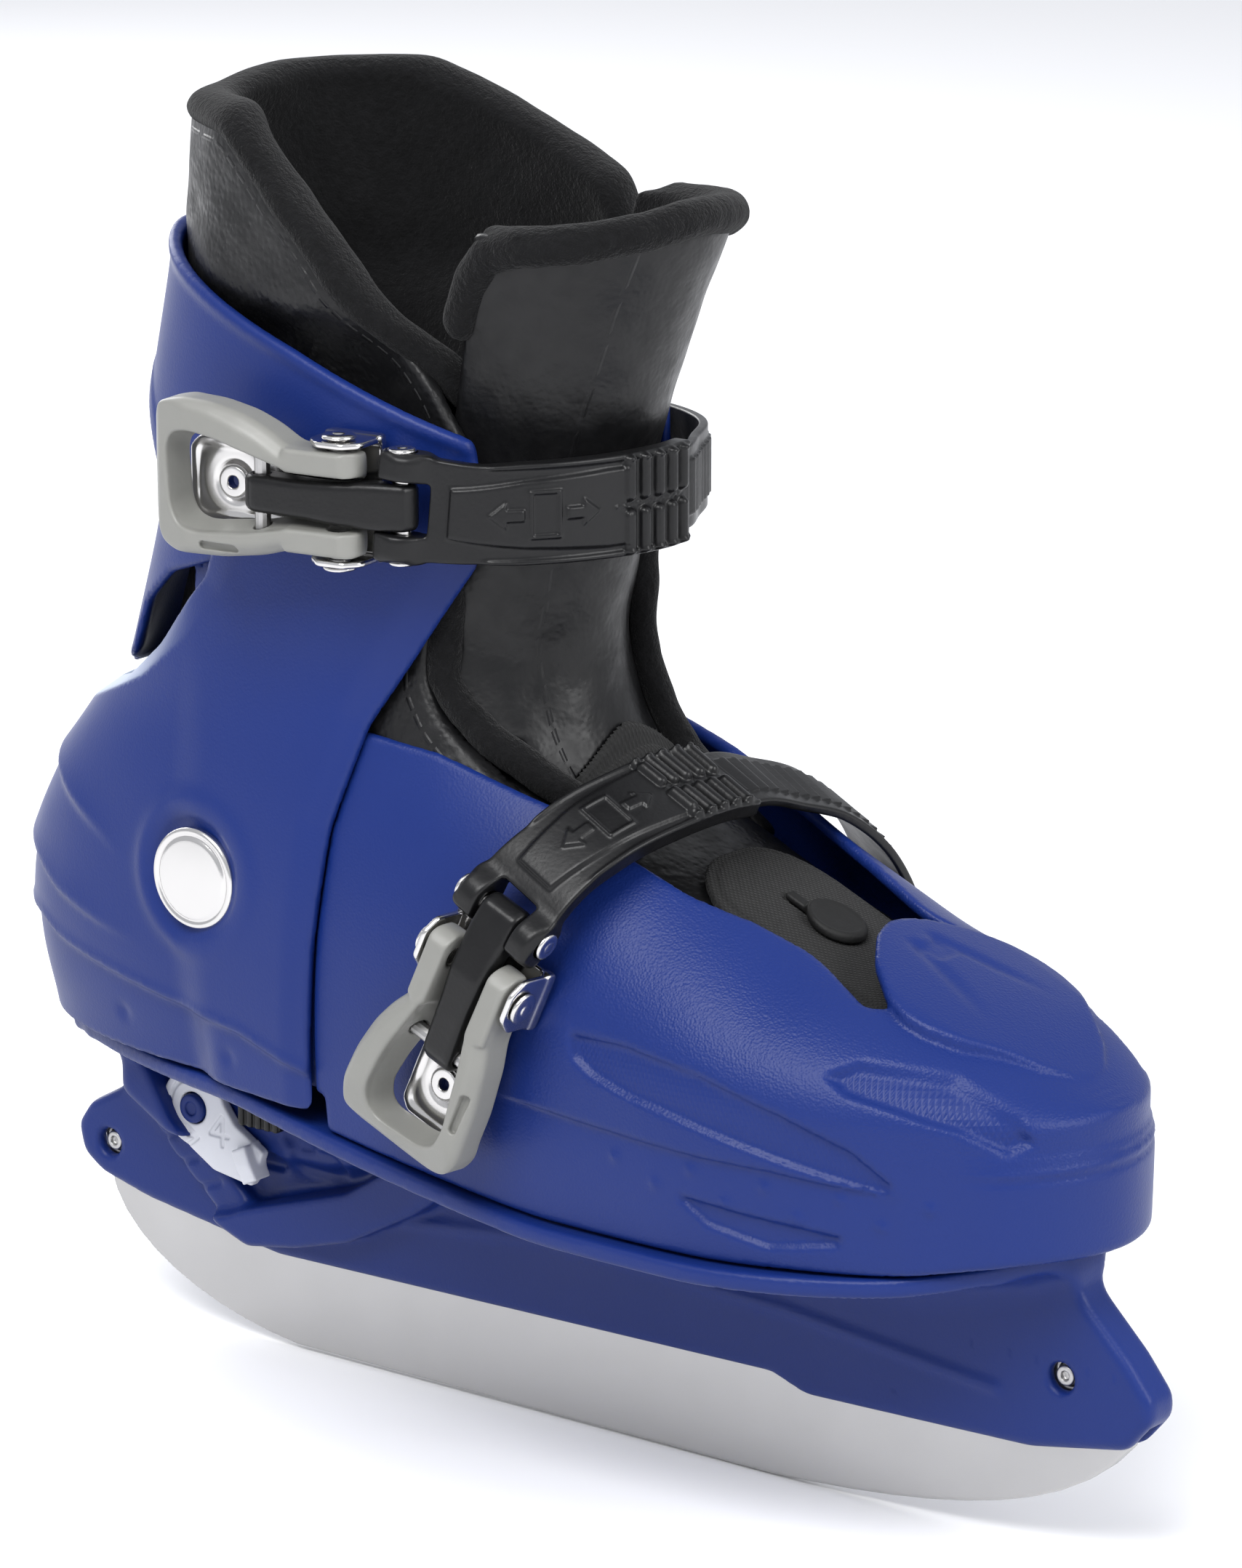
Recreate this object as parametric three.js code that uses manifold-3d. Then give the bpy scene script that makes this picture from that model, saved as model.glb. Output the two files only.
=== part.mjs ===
// Child's adjustable ice skate, right foot: moulded shell on a blade holder, sliding heel, hinged cuff,
// soft liner and two ratchet buckles. Millimetres, +X to the toe, +Y to the inner side, +Z up, and the
// blade's lowest line is at z = 0.
import * as THREE from 'three';
import { mergeVertices } from 'three/addons/utils/BufferGeometryUtils.js';
import Module from 'manifold-3d';

const wasm = await Module();
wasm.setup();

// ---------------------------------------------------------------- driving dimensions
const GAP = 0.3;                 // space kept between pieces that touch
const WALL = 2.6;                // moulded shell wall
const HEEL_IN = 0.5;             // heel shell's inner face, outside the front shell's outer face
const HEEL_OUT = 3.1;
const BAND_IN = 3.7;             // cuff band's faces, outside the heel shell
const BAND_OUT = 6.2;
const ARM_OUT = -3.0;            // cuff's pivot arms, inside the front shell
const ARM_IN = -4.8;
const LINER_OUT = -7.9;
const LINER_IN = -12.4;
const PIVOT = { x: -64.5, z: 107.5 };   // ankle pivot, along Y
const RING = 24;                 // sides of a horizontal section through the leg
const CUT_TOP = 300;             // far above the skate, for cutting shapes
const CUT_LOW = 20;
const CUT_SIDE = 80;             // and far out to each side

// Leg and heel: height, rear end, front end and half width of each horizontal section.
const LEG = [
  [66, -125, 0, 31],
  [80, -128.5, 0, 34],
  [93, -129, 0, 35.5],
  [108, -126, 2, 35.5],
  [123, -118, 4, 35],
  [138, -107, 8, 34],
  [165, -99, 8, 33],
  [190, -93, 9, 32.5],
  [225, -85, 12, 33],
];

// Foot: station along X, underside, widest height and crown of each cross-section.
const FOOT_MID = 45;             // where the foot is widest
const FOOT_HALF = 45.5;
const FOOT_REAR = 176;           // from there to the rear end of the ellipse
const FOOT_FRONT = 77;           // and to the toe
const FOOT_WIDE = 86;            // height of the widest line
const FOOT_CROWN = [[-60, 176], [-10, 160], [12, 146], [42, 125.5], [65, 113], [83, 107], [95, 102.5],
  [105, 98], [112, 93.5], [118, 89.5], [124, 87]];
const FOOT_BASE = [[-60, 67], [-20, 62], [20, 57.5], [60, 57.5], [95, 59], [110, 62], [117, 70], [124, 83]];
const SOLE_TOP = [[-130, 66], [-60, 66], [-20, 61], [20, 56.6], [60, 56.6], [95, 58], [114, 61]];
const SOLE_THICK = 4;

// ---------------------------------------------------------------- geometry helpers
function between(table, x) {
  if (x <= table[0][0]) return table[0].slice(1);
  for (let i = 1; i < table.length; i += 1) {
    if (x <= table[i][0]) {
      const t = (x - table[i - 1][0]) / (table[i][0] - table[i - 1][0]);
      return table[i].slice(1).map((b, k) => table[i - 1][k + 1] * (1 - t) + b * t);
    }
  }
  return table[table.length - 1].slice(1);
}

function solid(geometry) {
  const bare = geometry.clone();
  bare.deleteAttribute('normal');
  bare.deleteAttribute('uv');
  const merged = mergeVertices(bare, 1e-4);
  return new wasm.Manifold(new wasm.Mesh({
    numProp: 3,
    vertProperties: new Float32Array(merged.attributes.position.array),
    triVerts: new Uint32Array(merged.index.array),
  }));
}

function geometryOf(body) {
  const data = body.getMesh();
  const geometry = new THREE.BufferGeometry();
  const points = new Float32Array(data.vertProperties);
  geometry.setAttribute('position', new THREE.BufferAttribute(points, 3));
  geometry.setIndex(new THREE.BufferAttribute(new Uint32Array(data.triVerts), 1));
  geometry.computeVertexNormals();
  return geometry;
}

// A closed skin through rings of points that all have the same count and turn the same way.
function loft(rings) {
  const count = rings[0].length;
  const points = rings.flat();
  const faces = [];
  for (let r = 0; r + 1 < rings.length; r += 1) {
    for (let i = 0; i < count; i += 1) {
      const a = r * count + i;
      const b = r * count + ((i + 1) % count);
      faces.push([a, b, b + count], [a, b + count, a + count]);
    }
  }
  const first = points.length;
  points.push(middle(rings[0]), middle(rings[rings.length - 1]));
  for (let i = 0; i < count; i += 1) {
    const j = (i + 1) % count;
    const end = (rings.length - 1) * count;
    faces.push([first, j, i], [first + 1, end + i, end + j]);
  }
  const geometry = new THREE.BufferGeometry();
  geometry.setAttribute('position', new THREE.Float32BufferAttribute(points.flat(), 3));
  geometry.setIndex(faces.flat());
  return geometry;
}

function middle(ring) {
  return [0, 1, 2].map((k) => ring.reduce((sum, p) => sum + p[k], 0) / ring.length);
}

function sideShape(outline) {
  return new THREE.Shape(outline.map(([x, z]) => new THREE.Vector2(x, z)));
}

// A side-view outline in X and Z, carried along Y from y0 to y1.
function prism(outline, y0, y1, bevel = 0) {
  const shape = Array.isArray(outline) ? sideShape(outline) : outline;
  const geometry = new THREE.ExtrudeGeometry(shape, {
    depth: y1 - y0 - 2 * bevel,
    bevelEnabled: bevel > 0,
    bevelThickness: bevel,
    bevelSize: bevel,
    bevelOffset: -bevel,
    bevelSegments: 1,
    curveSegments: 8,
  });
  geometry.rotateX(Math.PI / 2);
  geometry.translate(0, y1 - bevel, 0);
  return solid(geometry);
}

// The same outline across the whole skate, for cutting.
function across(outline) {
  return prism(outline, -CUT_SIDE, CUT_SIDE);
}

function box(x0, x1, y0, y1, z0, z1) {
  const geometry = new THREE.BoxGeometry(x1 - x0, y1 - y0, z1 - z0);
  geometry.translate((x0 + x1) / 2, (y0 + y1) / 2, (z0 + z1) / 2);
  return solid(geometry);
}

// A cylinder along Y, between two ends given in either order.
function barY(x, z, radius, y0, y1, sides = 20) {
  const geometry = new THREE.CylinderGeometry(radius, radius, Math.abs(y1 - y0), sides);
  geometry.translate(x, (y0 + y1) / 2, z);
  return solid(geometry);
}

// A cylinder along Z.
function barZ(x, y, radius, z0, z1, sides = 16) {
  const geometry = new THREE.CylinderGeometry(radius, radius, z1 - z0, sides);
  geometry.rotateX(Math.PI / 2);
  geometry.translate(x, y, (z0 + z1) / 2);
  return solid(geometry);
}

// ---------------------------------------------------------------- the boot's volumes
function power(value, exponent) {
  return Math.sign(value) * Math.abs(value) ** exponent;
}

// Horizontal section through the leg, grown by `grow` all round.
function legRing(z, grow) {
  const [rear, front, half] = between(LEG, z);
  const mid = (rear + front) / 2;
  const reach = (front - rear) / 2 + grow;
  return Array.from({ length: RING }, (_, i) => {
    const a = (2 * Math.PI * i) / RING;
    return [mid + reach * power(Math.cos(a), 0.9), (half + grow) * power(Math.sin(a), 0.9), z];
  });
}

function leg(grow, low, high) {
  const levels = LEG.map(([z]) => z).filter((z) => z > low + 1 && z < high - 1);
  return solid(loft([low, ...levels, high].map((z) => legRing(z, grow))));
}

// Cross-section of the foot at station x: domed above the widest line, nearly upright below it.
const DOME_STEPS = 10;
const SIDE_STEPS = 3;

function footRing(x, grow, deep) {
  const run = x - FOOT_MID;
  const length = run > 0 ? FOOT_FRONT + grow : FOOT_REAR + grow;
  const half = (FOOT_HALF + grow) * Math.sqrt(Math.max(1 - (run / length) ** 2, 0.002));
  const [crown] = between(FOOT_CROWN, x - Math.max(run, 0) * (grow / FOOT_FRONT));
  const [base] = between(FOOT_BASE, x - Math.max(run, 0) * (grow / FOOT_FRONT));
  const wide = Math.min(FOOT_WIDE, crown - 1);
  const ring = [];
  for (let i = 0; i <= DOME_STEPS; i += 1) {
    const a = (Math.PI * i) / DOME_STEPS;
    ring.push([x, -half * power(Math.cos(a), 0.95), wide + (crown + grow - wide) * Math.sin(a)]);
  }
  const drop = deep ? between([[90, 30], [102, -WALL]], x)[0] : 6;
  const low = Math.min(base - drop, wide - 1);
  for (let i = 1; i <= SIDE_STEPS; i += 1) {
    const t = i / SIDE_STEPS;
    ring.push([x, half * (1 - 0.06 * t * t), wide + (low - wide) * t]);
  }
  for (let i = SIDE_STEPS; i >= 1; i -= 1) {
    const t = i / SIDE_STEPS;
    ring.push([x, -half * (1 - 0.06 * t * t), wide + (low - wide) * t]);
  }
  return ring.reverse();
}

function foot(grow, deep) {
  const turns = [0, 0.26, 0.5, 0.7, 0.87, 1.02, 1.15, 1.28, 1.4, 1.48];
  const front = turns.map((a) => FOOT_MID + (FOOT_FRONT + grow) * Math.sin(a));
  const stations = [-62, -40, -18, 5, 25, ...front];
  return solid(loft(stations.map((x) => footRing(x, grow, deep))));
}

const cache = new Map();
function boot(grow, cutting = false) {
  const key = `${grow}/${cutting}`;
  if (!cache.has(key)) {
    const low = cutting ? CUT_LOW : 60;
    cache.set(key, foot(grow, cutting).add(leg(grow, low, cutting ? 290 : 262)));
  }
  return cache.get(key);
}

function skin(outer, inner) {
  return boot(outer).subtract(boot(inner, true));
}

// ---------------------------------------------------------------- the group and its materials
const skate = new THREE.Group();
const BLUE = { color: 0x1b2fa8, roughness: 0.45, metalness: 0 };
const BLACK = { color: 0x1a1a1c, roughness: 0.55, metalness: 0 };
const GREY = { color: 0x8e8e8a, roughness: 0.45, metalness: 0 };
const CHROME = { color: 0xd8d8da, roughness: 0.15, metalness: 1 };
const STEEL = { color: 0xc8c9cc, roughness: 0.35, metalness: 1 };
const CLOTH = { color: 0x141416, roughness: 0.95, metalness: 0 };
const WHITE = { color: 0xd9dadd, roughness: 0.4, metalness: 0.2 };

function place(name, body, look, parent = skate) {
  const mesh = new THREE.Mesh(geometryOf(body), new THREE.MeshStandardMaterial(look));
  mesh.name = name;
  parent.add(mesh);
  return mesh;
}

// ---------------------------------------------------------------- blade and holder
const BLADE_HALF = 1.5;
const SLOT_HALF = BLADE_HALF + GAP;
const BLADE_BOLTS = [{ name: 'rear', x: -119.5, z: 34.5 }, { name: 'front', x: 112, z: 35 }];
const BOLT_R = 2;
const SLOT_OUTLINE = [[-140, 0], [140, 0], [140, 23], [124, 31.5], [117, 42], [106, 42], [102, 32],
  [-109, 32], [-112.5, 41], [-125, 40], [-140, 31]];

function bladeOutline() {
  const shape = new THREE.Shape();
  shape.moveTo(-122, 28);
  shape.bezierCurveTo(-119, 12, -92, 1, -66, 0);
  shape.lineTo(44, 0);
  shape.bezierCurveTo(80, 1.5, 112, 6, 125.5, 23.5);
  shape.lineTo(124, 30);
  shape.lineTo(117, 41);
  shape.lineTo(107, 41);
  shape.lineTo(103, 31);
  shape.lineTo(-110, 31);
  shape.lineTo(-113, 40);
  shape.lineTo(-124, 39);
  shape.lineTo(-122, 28);
  return shape;
}

function buildBlade() {
  let blade = prism(bladeOutline(), -BLADE_HALF, BLADE_HALF);
  BLADE_BOLTS.forEach(({ x, z }) => {
    blade = blade.subtract(barY(x, z, BOLT_R + GAP, -5, 5, 14));
  });
  place('blade', blade, STEEL);
}

const HOLDER_OUTLINE = [[-122, 27.6], [-110, 24.5], [-76, 19.4], [46, 21.4], [54, 18.6], [105, 19.8],
  [126, 23.6], [131.5, 30], [131.5, 34], [126, 41], [117, 50], [111, 59], [95, 56], [60, 54], [20, 54],
  [-20, 58.5], [-60, 63], [-110, 63], [-112, 51], [-117, 47], [-125, 42.5], [-128.5, 37], [-127, 31]];
const RAIL_OUTLINE = [[-112, 46], [-96, 40], [-60, 40], [-40, 46], [30, 44], [80, 46], [104, 54], [95, 56],
  [60, 54], [20, 54], [-20, 58.5], [-60, 63], [-112, 63]];
const WEB_HALF = 4.5;
const RAIL_HALF = 15;
const LEVER_HUB = { x: -91, z: 49, r: 3 };
const POCKET_Y = -8.2;           // floor of the recess for the size lever
const RACK = { x0: -100, x1: -76, pitch: 4, y: -3, half: 2, low: 62.6, high: 66.3, depth: 1.6 };
const SOLE_SCREWS = [{ x: 24, y: -22 }, { x: 24, y: 22 }, { x: 74, y: -22 }, { x: 74, y: 22 }];
const SCREW_R = 2;
const SCREW_HEAD = { r: 4, low: 3.6, high: 5 };
const SOLE_MID = 50;             // where the sole plate is widest
const SOLE_FRONT = 63.5;
const SOLE_REAR = 178;
const SOLE_HALF = 45;

// Half the width, at station x, of the ellipse that the sole plate follows.
function soleHalf(x, widest) {
  const run = (x - SOLE_MID) / (x > SOLE_MID ? SOLE_FRONT : SOLE_REAR);
  return widest * Math.sqrt(Math.max(1 - run * run, 0.003));
}

function screwHoles(body) {
  const hole = ({ x, y }) => barZ(x, y, SCREW_R + 0.4, 40, 80, 12);
  return SOLE_SCREWS.reduce((left, screw) => left.subtract(hole(screw)), body);
}

// The sole plate rises from the forefoot to the heel.
function solePlate() {
  const stations = [-127.5, -124, -116, -100, -75, -45, -20, 20, 50, 75, 95, 106, 111, 113];
  const rings = stations.map((x) => {
    const half = soleHalf(x, SOLE_HALF);
    const [top] = between(SOLE_TOP, x);
    const low = top - SOLE_THICK;
    return [[x, -half, low], [x, -half, top], [x, half, top], [x, half, low]].reverse();
  });
  return solid(loft(rings));
}

function buildHolder() {
  let holder = prism(HOLDER_OUTLINE, -WEB_HALF, WEB_HALF).add(prism(RAIL_OUTLINE, -RAIL_HALF, RAIL_HALF));
  holder = holder.add(solePlate());
  holder = holder.subtract(prism(SLOT_OUTLINE, -SLOT_HALF, SLOT_HALF));
  BLADE_BOLTS.forEach(({ x, z }) => {
    holder = holder.subtract(barY(x, z, BOLT_R + GAP, -20, 20, 14));
  });
  holder = holder.subtract(box(-106, -58, -RAIL_HALF - 1, POCKET_Y, 36, 61));
  holder = holder.subtract(barY(LEVER_HUB.x, LEVER_HUB.z, LEVER_HUB.r + GAP, -12, 5, 14));
  holder = screwHoles(holder);
  const channel = RACK.half + 2 * GAP;
  const slide = box(RACK.x0 - 18, RACK.x1 + 2, RACK.y - channel, RACK.y + channel, RACK.low - 2 * GAP, 70);
  holder = holder.subtract(slide);
  place('blade_holder', holder, BLUE);
  BLADE_BOLTS.forEach(({ name, x, z }) => {
    place(`blade_pin_${name}`, barY(x, z, BOLT_R, -WEB_HALF + 0.4, WEB_HALF - 0.4, 14), STEEL);
  });
}

function buildSoleScrews() {
  SOLE_SCREWS.forEach(({ x, y }, i) => {
    const [top] = between(SOLE_TOP, x);
    const shank = barZ(x, y, SCREW_R, top - SOLE_THICK + GAP, top + SCREW_HEAD.low + 0.1, 12);
    const head = barZ(x, y, SCREW_HEAD.r, top + SCREW_HEAD.low, top + SCREW_HEAD.high, 12);
    place(`sole_screw_${i + 1}`, shank.add(head), STEEL);
  });
}

// ---------------------------------------------------------------- shells
const FRONT_OUTLINE = [[-61, 70], [-33, 70], [-33, 40], [140, 40], [140, 130], [86, 130], [84.5, 104],
  [80, 104.5], [72, 108], [54, 115.5], [42, 119.5], [14, 132], [-12, 139], [-30, 141], [-54, 139], [-54, 96],
  [-61, 92]];
const LAP_OUTLINE = [[-90, 20], [-37, 20], [-35.5, 100], [-33.5, 122], [-27.5, 145], [-27.5, 200],
  [-90, 200]];
const LAP_DROP = 1.4;            // the front shell is stepped in where the heel shell slides over it
const FRONT_FLOOR = 2.4;
const FLOOR_HALF = 42;
const TAB_RISE = 2.4;

function buildFrontShell() {
  let shell = skin(0, -WALL).intersect(across(FRONT_OUTLINE));
  shell = shell.subtract(skin(1, -LAP_DROP).intersect(across(LAP_OUTLINE)));
  shell = shell.subtract(box(20, 84.5, -15, 15, 95, 200));
  const tab = boot(TAB_RISE).subtract(boot(-WALL + 0.2, true)).intersect(tabPrism());
  shell = shell.add(tab);
  const above = loft(solePlateTopRings());
  shell = shell.intersect(solid(above));
  shell = shell.add(frontFloor());
  place('front_shell', screwHoles(shell), BLUE);
}

// Everything above the sole plate, with the usual gap.
function solePlateTopRings(rise = GAP) {
  return [-150, -60, -20, 20, 60, 95, 114, 150].map((x) => {
    const low = between(SOLE_TOP, x)[0] + rise;
    return [[x, -90, low], [x, -90, CUT_TOP], [x, 90, CUT_TOP], [x, 90, low]].reverse();
  });
}

function frontFloor() {
  const floor = [-33, -20, 20, 60, 95, 108].map((x) => {
    const half = soleHalf(x, FLOOR_HALF);
    const low = between(SOLE_TOP, x)[0] + GAP;
    const high = low + FRONT_FLOOR;
    return [[x, -half, low], [x, -half, high], [x, half, high], [x, half, low]].reverse();
  });
  return solid(loft(floor)).intersect(boot(-0.4, true));
}

// Plan outline of the raised tab over the toe, as an upright prism.
function tabPrism() {
  const shape = new THREE.Shape();
  shape.absarc(82, 0, 14, Math.PI / 2, (3 * Math.PI) / 2, false);
  shape.lineTo(104, -11);
  shape.absarc(106, 0, 9, -Math.PI / 2, Math.PI / 2, false);
  shape.lineTo(82, 14);
  const settings = { depth: 60, bevelEnabled: false, curveSegments: 6 };
  const geometry = new THREE.ExtrudeGeometry(shape, settings);
  geometry.translate(0, 0, 90);
  return solid(geometry);
}

const HEEL_OUTLINE = [[-150, 67.6], [-35.5, 66.4], [-34, 100], [-32, 122], [-26, 142], [-7, 174], [-5, 189],
  [-34, 189], [-39, 177], [-62, 177], [-66.5, 165], [-74, 157], [-84, 148], [-95, 140], [-108, 135.5],
  [-150, 135.5]];
const HEEL_FLOOR = { low: 66.6, high: 69.2 };
const CAP_R = 10;
const CAP_THICK = 2.2;
const FLANGE_R = 6.5;
const PIN_R = 4;

function buildHeelShell() {
  let shell = skin(HEEL_OUT, HEEL_IN).intersect(across(HEEL_OUTLINE));
  const floor = boot(HEEL_IN + 0.4).intersect(box(-150, -56, -60, 60, HEEL_FLOOR.low, HEEL_FLOOR.high));
  shell = shell.add(floor);
  shell = shell.subtract(barY(PIVOT.x, PIVOT.z, PIN_R + GAP, -CUT_SIDE, CUT_SIDE));
  place('heel_shell', shell, BLUE);
}

// ---------------------------------------------------------------- cuff
const CREASE = [[-120, 209], [-101, 207], [-92, 199], [-84, 190], [-76, 180]];
const CUFF_TOP = [[-4, 199], [-40, 213], [-88, 229], [-120, 230]];
const BAND_OUTLINE = [...CREASE, [-6, 180], [-3, 184], ...CUFF_TOP];
const PANEL_OUTLINE = [[-120, 136.5], [-108, 137], [-97, 143], [-92, 154], [-81, 162.5], [-68, 167],
  [-60, 170], [-60, 184], [-73, 184], [-81, 194], [-89, 203], [-98, 211], [-120, 213]];
const STEP_OUTLINE = [...CREASE, ...CREASE.slice().reverse().map(([x, z]) => [x + 4, z + 4.5])];
const PANEL_THICK = 2.4;
const RIDGE_OUTLINE = [[-118, 137], [-104, 137], [-90, 200], [-102, 200], [-106, 180]];
const ARM_R = 10.5;              // round the pivot
const ARM_LINK = [[-75, 172], [-75, 183], [-61, 183], [-61, 172]];
const ARM_OUTLINE = [[-74, 110], [-76, 168], [-76, 184], [-60, 184], [-60, 168], [-55, 110]];

function buildCuff() {
  const panelIn = -PANEL_THICK;
  let cuff = skin(BAND_OUT, BAND_IN).intersect(across(BAND_OUTLINE));
  cuff = cuff.add(skin(0, panelIn).intersect(across(PANEL_OUTLINE)));
  cuff = cuff.add(skin(BAND_OUT, panelIn).intersect(across(STEP_OUTLINE)));
  const disc = new THREE.Shape();
  disc.absarc(PIVOT.x, PIVOT.z, ARM_R, 0, 2 * Math.PI, false);
  const arms = skin(ARM_OUT, ARM_IN);
  cuff = cuff.add(arms.intersect(across(ARM_OUTLINE))).add(arms.intersect(across(disc)));
  cuff = cuff.add(skin(0, ARM_IN).intersect(across(ARM_LINK)));
  cuff = cuff.subtract(barY(PIVOT.x, PIVOT.z, PIN_R + GAP, -CUT_SIDE, CUT_SIDE));
  const ridge = prism(RIDGE_OUTLINE, -6, 6, 2);
  cuff = cuff.add(ridge.subtract(boot(-1, true)));
  place('cuff', cuff, BLUE);
}

// Rivets that join the cuff's arms to the heel shell: a pin with a flange inside and a cap outside.
function buildAnklePivots() {
  [['outer', -1], ['inner', 1]].forEach(([name, sign]) => {
    const [, , half] = between(LEG, PIVOT.z);
    const wall = half + HEEL_OUT;
    const inside = half + ARM_IN - 0.9;
    const bar = (r, a, b, n) => barY(PIVOT.x, PIVOT.z, r, sign * a, sign * b, n);
    const capLow = wall + 2 * GAP;
    place(`ankle_cap_${name}`, bar(CAP_R, capLow, capLow + CAP_THICK, 28), CHROME);
    const flange = bar(FLANGE_R, inside - 1, inside + 0.05, 20);
    place(`ankle_pin_${name}`, bar(PIN_R, inside, wall, 20).add(flange), STEEL);
  });
}

// ---------------------------------------------------------------- soft liner and tongue
const SPLIT_R = 45;              // round the ankle pivot, where the leg part of the liner meets the foot part
const SPLIT_BACK = 166;          // degrees up from +X
const FOOT_LIMIT = 30;
const LEG_LIMIT = 43;
const INSTEP = [[-8, 139], [12, 127], [28, 119.5], [69, 104.5], [87, 101], [130, 101]];
const LINER_FLOOR = 5.8;         // heights above the sole plate
const LINER_ROOM = 10;
const INSOLE_TOP = 12.8;
const INSOLE_SIDE = LINER_IN - 0.8;
const LINER_TOP_THICK = 4.5;
const FRONT_SPLIT = -4.5;        // the collar lies behind this line and the tongue before it

function aroundPivot(radius, degrees) {
  const a = (degrees * Math.PI) / 180;
  return [PIVOT.x + radius * Math.cos(a), PIVOT.z + radius * Math.sin(a)];
}

function arcPoints(radius, from, to, steps) {
  return Array.from({ length: steps + 1 }, (_, i) => aroundPivot(radius, from + ((to - from) * i) / steps));
}

function buildLinerFoot() {
  const split = [...arcPoints(SPLIT_R, FOOT_LIMIT, SPLIT_BACK, 12), aroundPivot(110, SPLIT_BACK)];
  const side = across([...split, [-170, 20], [150, 20], ...INSTEP.slice().reverse()]);
  const floor = (rise) => solid(loft(solePlateTopRings(rise)));
  const ceiling = INSTEP.slice(1).map(([x, z]) => [x, z - LINER_TOP_THICK]);
  const below = across([[-13, 220], [-13, 137], ...ceiling, [130, 0], [-170, 0], [-170, 220]]);
  const room = boot(LINER_IN, true).intersect(floor(LINER_ROOM)).intersect(below);
  const liner = boot(LINER_OUT, true).intersect(side).intersect(floor(LINER_FLOOR)).subtract(room);
  place('liner_foot', liner, CLOTH);
  const insole = boot(INSOLE_SIDE, true).intersect(floor(LINER_ROOM + GAP)).subtract(floor(INSOLE_TOP));
  place('insole', insole, CLOTH);
}

const COLLAR = [[110, LINER_OUT], [200, LINER_OUT], [213, -3.2], [219, 2.8], [248, 2.4], [262, -1]];
const COLLAR_TOP = {
  outer: [[-120, 252], [-84, 255], [-60, 256], [-36, 235], [-12, 209], [-1, 192]],
  inner: [[-120, 252], [-84, 257], [-60, 258], [-36, 248], [-12, 239], [-1, 215]],
};

const COLLAR_THICK = 5;

function collarVolume(thinner, low, high) {
  const levels = [low, 123, 138, 165, 190, 200, 213, 219, high];
  return solid(loft(levels.map((z) => legRing(z, between(COLLAR, z)[0] - thinner))));
}

function buildLinerCuff() {
  const split = [...arcPoints(SPLIT_R + 0.6, SPLIT_BACK - 1, LEG_LIMIT, 10), aroundPivot(90, LEG_LIMIT)];
  const outline = (top) => [aroundPivot(110, SPLIT_BACK - 1), ...split, ...top.slice().reverse()];
  const ring = collarVolume(0, 110, 262).subtract(collarVolume(COLLAR_THICK, 100, 275));
  const outerHalf = prism(outline(COLLAR_TOP.outer), -CUT_SIDE, 0.01);
  const innerHalf = prism(outline(COLLAR_TOP.inner), 0, CUT_SIDE);
  const behind = box(-150, FRONT_SPLIT - GAP, -CUT_SIDE, CUT_SIDE, 90, 280);
  const liner = ring.intersect(outerHalf.add(innerHalf)).intersect(behind);
  place('liner_cuff', liner, CLOTH);
}

// Tongue: height, front, half length and half width of each horizontal section.
const TONGUE = [[158, 4, 28, 24], [175, 7, 27, 24.5], [190, 10, 27, 24.5], [205, 15, 28, 25],
  [222, 21, 28, 26], [236, 27, 29, 28]];

const TONGUE_THICK = 4.5;
const ROLL_R = 4.2;

function tongueRing(z, thinner) {
  const [front, reach, half] = between(TONGUE, z);
  return Array.from({ length: 24 }, (_, i) => {
    const a = (2 * Math.PI * i) / 24;
    return [front - reach + (reach - thinner) * Math.cos(a), (half - thinner) * Math.sin(a), z];
  });
}

function buildTongue() {
  const volume = (thinner, low, high) => {
    const levels = [low, 175, 190, 205, 222, high];
    return solid(loft(levels.map((z) => tongueRing(z, thinner))));
  };
  const wedge = across([aroundPivot(82.5, LEG_LIMIT), aroundPivot(160, LEG_LIMIT), [60, 260], [-4.2, 260]]);
  const shell = volume(0, 150, 232.8).subtract(volume(TONGUE_THICK, 140, 240));
  place('tongue', shell.intersect(wedge), CLOTH);
  const rim = [];
  for (let degrees = -78; degrees <= 78; degrees += 12) {
    const a = (degrees * Math.PI) / 180;
    rim.push([-2 + 27 * Math.cos(a), 26 * Math.sin(a), 240.5 - 3 * Math.abs(Math.sin(a))]);
  }
  place('tongue_roll', tube(rim, ROLL_R, 8), CLOTH);
}

// A round bar through the points of a level or near-level path.
function tube(path, radius, sides) {
  const rings = path.map((p, i) => {
    const a = path[Math.max(i - 1, 0)];
    const b = path[Math.min(i + 1, path.length - 1)];
    const along = new THREE.Vector3(b[0] - a[0], b[1] - a[1], b[2] - a[2]).normalize();
    const out = new THREE.Vector3(0, 0, 1).cross(along).normalize();
    const up = along.clone().cross(out);
    return Array.from({ length: sides }, (_, k) => {
      const t = (2 * Math.PI * k) / sides;
      const q = new THREE.Vector3(...p).addScaledVector(out, radius * Math.cos(t));
      return q.addScaledVector(up, radius * Math.sin(t)).toArray();
    });
  });
  return solid(loft(rings));
}

// Canvas patch over the toes, on the liner and under the front shell's tab, with a rubber tag on it.
const PATCH = { x0: 29, z0: 119.2, x1: 69, z1: 104.6, half: 13, thick: 1.6 };
const TAG = { x: 57, r: 7, squeeze: 0.75, thick: 1.6 };

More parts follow.
